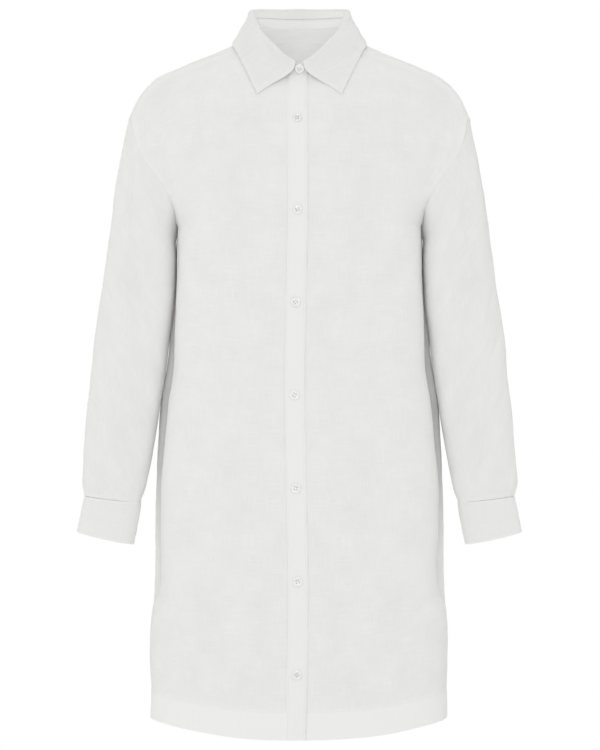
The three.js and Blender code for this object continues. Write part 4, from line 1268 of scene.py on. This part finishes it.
cuffTurn = 2 * math.pi / sleeveParts["cuffSegments"]


def cuffGrid(columns=220, rows=26):
    share = np.linspace(0, 1, columns)
    angles = sleeveParts["cuffOpening"] + share * (sleeveParts["cuffSegments"] + 1) * cuffTurn
    grow = mix(-sleeveParts["spiral"] / 2, sleeveParts["spiral"] / 2, share) + 0.6
    grid = []
    for along in np.linspace(0, 1, rows):
        row = readRow(cuffRows, "along", along)
        grid.append(ringPoints(row, angles, grow))
    return np.array(grid)


def ventGrid(rows=40, columns=9):
    centre = sleeveParts["cuffOpening"] + cuffTurn / 2
    angles = centre + np.linspace(-0.14, 0.14, columns)
    grid = []
    for share in np.linspace(0, 1, rows):
        row = readRow(sleeveRows, "along", mix(0.83, 0.985, share))
        grid.append(ringPoints(row, angles, dress["clothWall"] + 0.9))
    return np.array(grid)


for side, mirror in (("left", 1.0), ("right", -1.0)):
    flip = np.array([mirror, 1.0, 1.0])
    front = leftSurface if side == "left" else mirrored(rightSurface)
    if side == "left":
        behind = backSurface[:, ::-1]
        over = yokeSurface
    else:
        behind = mirrored(backSurface)
        over = mirrored(yokeSurface)[:, ::-1]
    edge = armholeEdge(front, behind, over)
    base, angles, alongs = sleeveGrid(edge)
    base, height, plies = sleeveSurface(base, angles, sleeveFolds[side], 131 if side == "right" else 151)
    shaped = base - normalsOf(base, True) * height[..., None]
    facing = -1 if side == "left" else 1
    piece = clothWall("sleeve" + side.capitalize(), shaped * flip, dress["clothWall"], facing, True, plies)
    dressPiece(piece, linen, ["sleeve_" + side])
    sewLine("sleeveStitches" + side.capitalize(), shaped * flip, facing, "first", 1.8, closed=True)
    cuff = cuffGrid()
    u, v = distances(cuff)
    edgeDistance = np.minimum(np.minimum(v, v[-1:] - v), np.minimum(u, u[:, -1:] - u))
    relief = 0.22 * softNoise(u, v, 12, 9, 171) - 0.25 * np.exp(-(((edgeDistance - 4) / 0.9) ** 2))
    relief = relief * np.clip(edgeDistance / 1.5, 0, 1) - 0.85 * np.exp(-((v / 2) ** 2))
    cuff = cuff + normalsOf(cuff) * relief[..., None]
    piece = clothWall("cuff" + side.capitalize(), cuff * flip, dress["pliedWall"], 1 if side == "left" else -1,
                      plies=np.clip(0.6 + 0.4 * band(edgeDistance, 4), 0, 1),
                      thin=1 - 0.45 * np.exp(-((v / 3) ** 2)))
    dressPiece(piece, pliedLinenPaintedShade, ["cuff_" + side])
    for edge in ("first", "last", "left", "right"):
        sewLine("cuffStitches" + side.capitalize(), cuff * flip, 1 if side == "left" else -1, edge, 4,
                (0.02, 0.98) if edge in ("first", "last") else (0.08, 0.92))
    vent = ventGrid()
    piece = clothWall("vent" + side.capitalize(), vent * flip, dress["clothWall"], 1 if side == "left" else -1,
                      plies=np.ones(vent.shape[:2]) * 0.6)
    dressPiece(piece, pliedLinenPaintedShade, ["vent_" + side])
    for edge in ("left", "right"):
        sewLine("ventStitches" + side.capitalize(), vent * flip, 1 if side == "left" else -1, edge, 1.5)
print("sleeves and cuffs made")
sewPieces()

# Buttons
button = {"radius": 6.25, "thick": 2.6, "holeRadius": 0.8, "holeOffset": 1.5, "segments": 48}


def buttonMesh():
    profile = [(0, 0), (5.0, 0), (5.9, 0.3), (6.25, 1.0), (6.2, 1.8), (5.9, 2.35), (5.4, 2.6), (4.8, 2.55),
               (4.3, 2.3), (3.8, 1.95), (3.2, 1.8), (0, 1.8)]
    points, faces = [], []
    count = button["segments"]
    rings = profile[1:-1]
    for radius, height in rings:
        for k in range(count):
            turn = 2 * math.pi * k / count
            points.append((radius * math.cos(turn), radius * math.sin(turn), height))
    points += [(0, 0, 0), (0, 0, 1.8)]
    bottom, top = len(points) - 2, len(points) - 1
    for r in range(len(rings) - 1):
        for k in range(count):
            a, b = r * count + k, r * count + (k + 1) % count
            faces.append((a, b, b + count, a + count))
    last = (len(rings) - 1) * count
    for k in range(count):
        faces.append((bottom, (k + 1) % count, k))
        faces.append((top, last + k, last + (k + 1) % count))
    mesh = bpy.data.meshes.new("buttonForm")
    mesh.from_pydata(points, [], faces)
    solid = bpy.data.objects.new("buttonForm", mesh)
    bpy.context.scene.collection.objects.link(solid)
    cutters = []
    for sx in (-1, 1):
        for sy in (-1, 1):
            bpy.ops.mesh.primitive_cylinder_add(
                vertices=14, radius=button["holeRadius"], depth=8,
                location=(sx * button["holeOffset"], sy * button["holeOffset"], 1))
            cutter = bpy.context.object
            modifier = solid.modifiers.new("hole", "BOOLEAN")
            modifier.object = cutter
            modifier.operation = "DIFFERENCE"
            cutters.append(cutter)
    depsgraph = bpy.context.evaluated_depsgraph_get()
    result = bpy.data.meshes.new_from_object(solid.evaluated_get(depsgraph))
    for item in cutters + [solid]:
        bpy.data.objects.remove(item)
    return result


def threadBars():
    # two threads cross the well between the holes, sunk into them at each end
    points, faces = [], []
    offset = button["holeOffset"]
    for sx in (-1, 1):
        base = len(points)
        steps, sides, radius = 10, 8, 0.42
        for s in range(steps + 1):
            t = s / steps
            y = mix(-offset, offset, t)
            z = 1.35 + 1.0 * math.sin(t * math.pi) ** 0.6
            for k in range(sides):
                turn = 2 * math.pi * k / sides
                points.append((sx * offset + radius * math.cos(turn), y, z + radius * math.sin(turn)))
        for s in range(steps):
            for k in range(sides):
                a, b = base + s * sides + k, base + s * sides + (k + 1) % sides
                faces.append((a, a + sides, b + sides, b))
        faces.append(tuple(base + k for k in range(sides)))
        faces.append(tuple(base + steps * sides + k for k in reversed(range(sides))))
    mesh = bpy.data.meshes.new("buttonThread")
    mesh.from_pydata(points, [], faces)
    return mesh


buttonForm = buttonMesh()
threadForm = threadBars()


def placeButton(name, nodeName, place, outward, turn):
    quaternion = Vector((0, 0, 1)).rotation_difference(Vector(outward))
    matrix = Matrix.Translation(Vector(place)) @ quaternion.to_matrix().to_4x4() @ Matrix.Rotation(turn, 4, "Z")
    matrix = Matrix.Scale(mm, 4) @ matrix
    for suffix, form, material, slotName in (
        ("", buttonForm, shell, "shell_button"), ("Thread", threadForm, thread, "plied_linen"),
    ):
        mesh = form.copy()
        mesh.transform(matrix)
        mesh.polygons.foreach_set("use_smooth", np.ones(len(mesh.polygons), bool))
        piece = bpy.data.objects.new(name + suffix, mesh)
        bpy.context.scene.collection.objects.link(piece)
        mesh.materials.clear()
        mesh.materials.append(material)
        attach(piece, "root")
        if not suffix:
            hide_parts(nodeName)


for i in range(7):
    z = -104 - 118.5 * i
    at = centreStrip(np.array([0.0]), np.array([z - 3, z, z + 3]))[:, 0]
    slope = (at[2] - at[0]) / np.linalg.norm(at[2] - at[0])
    outward = np.array([0, -slope[2], slope[1]])
    outward /= np.linalg.norm(outward)
    placeButton(f"button{i + 1}", f"button_{i + 1}", at[1] + outward * 1.6, outward, 0.35 * i)
placeButton("buttonStand", "button_stand", (0, -64.5, -35), (0, -1, 0), 0.5)
for side, mirror in (("left", 1.0), ("right", -1.0)):
    low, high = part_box("cuff_button_" + side)
    centre = (low + high) / 2 / mm
    angle = sleeveParts["cuffOpening"] + cuffTurn / 2
    row = readRow(cuffRows, "along", 0.5)
    point = ringPoints(row, np.array([angle]), sleeveParts["spiral"] / 2 + 0.9)[0]
    sideways = ringPoints(row, np.array([angle + 0.1]))[0] - ringPoints(row, np.array([angle - 0.1]))[0]
    down = (ringPoints(readRow(cuffRows, "along", 1.0), np.array([angle]))[0]
            - ringPoints(readRow(cuffRows, "along", 0.0), np.array([angle]))[0])
    outward = np.cross(sideways, down)
    outward /= np.linalg.norm(outward)
    flip = np.array([mirror, 1, 1])
    placeButton("cuffButton" + side.capitalize(), "cuff_button_" + side, point * flip, outward * flip, 0.4)
print("buttons made")

# Floor, lights and camera
studio = {"floorZ": -1.42, "cameraDistance": 3.2, "aimZ": -0.434, "frameHeight": 0.9975}


def stageMaterial():
    material = bpy.data.materials.new("paleFloor")
    material.use_nodes = True
    tree = material.node_tree
    tree.nodes.clear()
    output = tree.nodes.new("ShaderNodeOutputMaterial")
    diffuse = node(tree, "ShaderNodeBsdfDiffuse", Color=(0.88, 0.88, 0.88, 1))
    glow = node(tree, "ShaderNodeEmission", Color=(1, 1, 1, 1), Strength=1.0)
    path = tree.nodes.new("ShaderNodeLightPath")
    blendNode = tree.nodes.new("ShaderNodeMixShader")
    tree.links.new(path.outputs["Is Camera Ray"], blendNode.inputs[0])
    tree.links.new(diffuse.outputs[0], blendNode.inputs[1])
    tree.links.new(glow.outputs[0], blendNode.inputs[2])
    tree.links.new(blendNode.outputs[0], output.inputs[0])
    return material


bpy.ops.mesh.primitive_plane_add(size=40, location=(0, 0, studio["floorZ"]))
floor = bpy.context.object
floor.name = "studioFloor"
floor.data.materials.append(stageMaterial())

world = bpy.data.worlds.new("studioWorld")
bpy.context.scene.world = world
world.use_nodes = True
tree = world.node_tree
tree.nodes.clear()
output = tree.nodes.new("ShaderNodeOutputWorld")
ambient = node(tree, "ShaderNodeBackground", Color=(1, 1, 1, 1), Strength=0.715)
backdrop = node(tree, "ShaderNodeBackground", Color=(1, 1, 1, 1), Strength=1.0)
path = tree.nodes.new("ShaderNodeLightPath")
blendNode = tree.nodes.new("ShaderNodeMixShader")
tree.links.new(path.outputs["Is Camera Ray"], blendNode.inputs[0])
tree.links.new(ambient.outputs[0], blendNode.inputs[1])
tree.links.new(backdrop.outputs[0], blendNode.inputs[2])
tree.links.new(blendNode.outputs[0], output.inputs[0])


def softbox(name, place, target, size, power):
    light = bpy.data.lights.new(name, "AREA")
    light.shape = "RECTANGLE"
    light.size, light.size_y = size
    light.energy = power
    lamp = bpy.data.objects.new(name, light)
    lamp.location = place
    lamp.rotation_euler = (Vector(target) - Vector(place)).to_track_quat("-Z", "Y").to_euler()
    lamp.visible_camera = False
    bpy.context.scene.collection.objects.link(lamp)


softbox("keyBox", (-0.4, -2.2, -0.1), (0, -0.05, -0.25), (0.9, 0.9), 5)
softbox("frontBox", (0.1, -3.4, -0.3), (0, 0, -0.4), (0.8, 0.8), 13)
softbox("neckBox", (0, -0.03, -0.12), (0, 0.06, 0.04), (0.07, 0.05), 0.1)

cameraData = bpy.data.cameras.new("studioCamera")
cameraData.sensor_fit = "VERTICAL"
cameraData.sensor_height = 36
cameraData.lens = 36 * studio["cameraDistance"] / studio["frameHeight"]
camera = bpy.data.objects.new("studioCamera", cameraData)
camera.location = (0.0007, -studio["cameraDistance"], studio["aimZ"])
camera.rotation_euler = (math.pi / 2, 0, 0)
bpy.context.scene.collection.objects.link(camera)
bpy.context.scene.camera = camera
bpy.context.scene.view_settings.view_transform = "Standard"

print("scene ready")
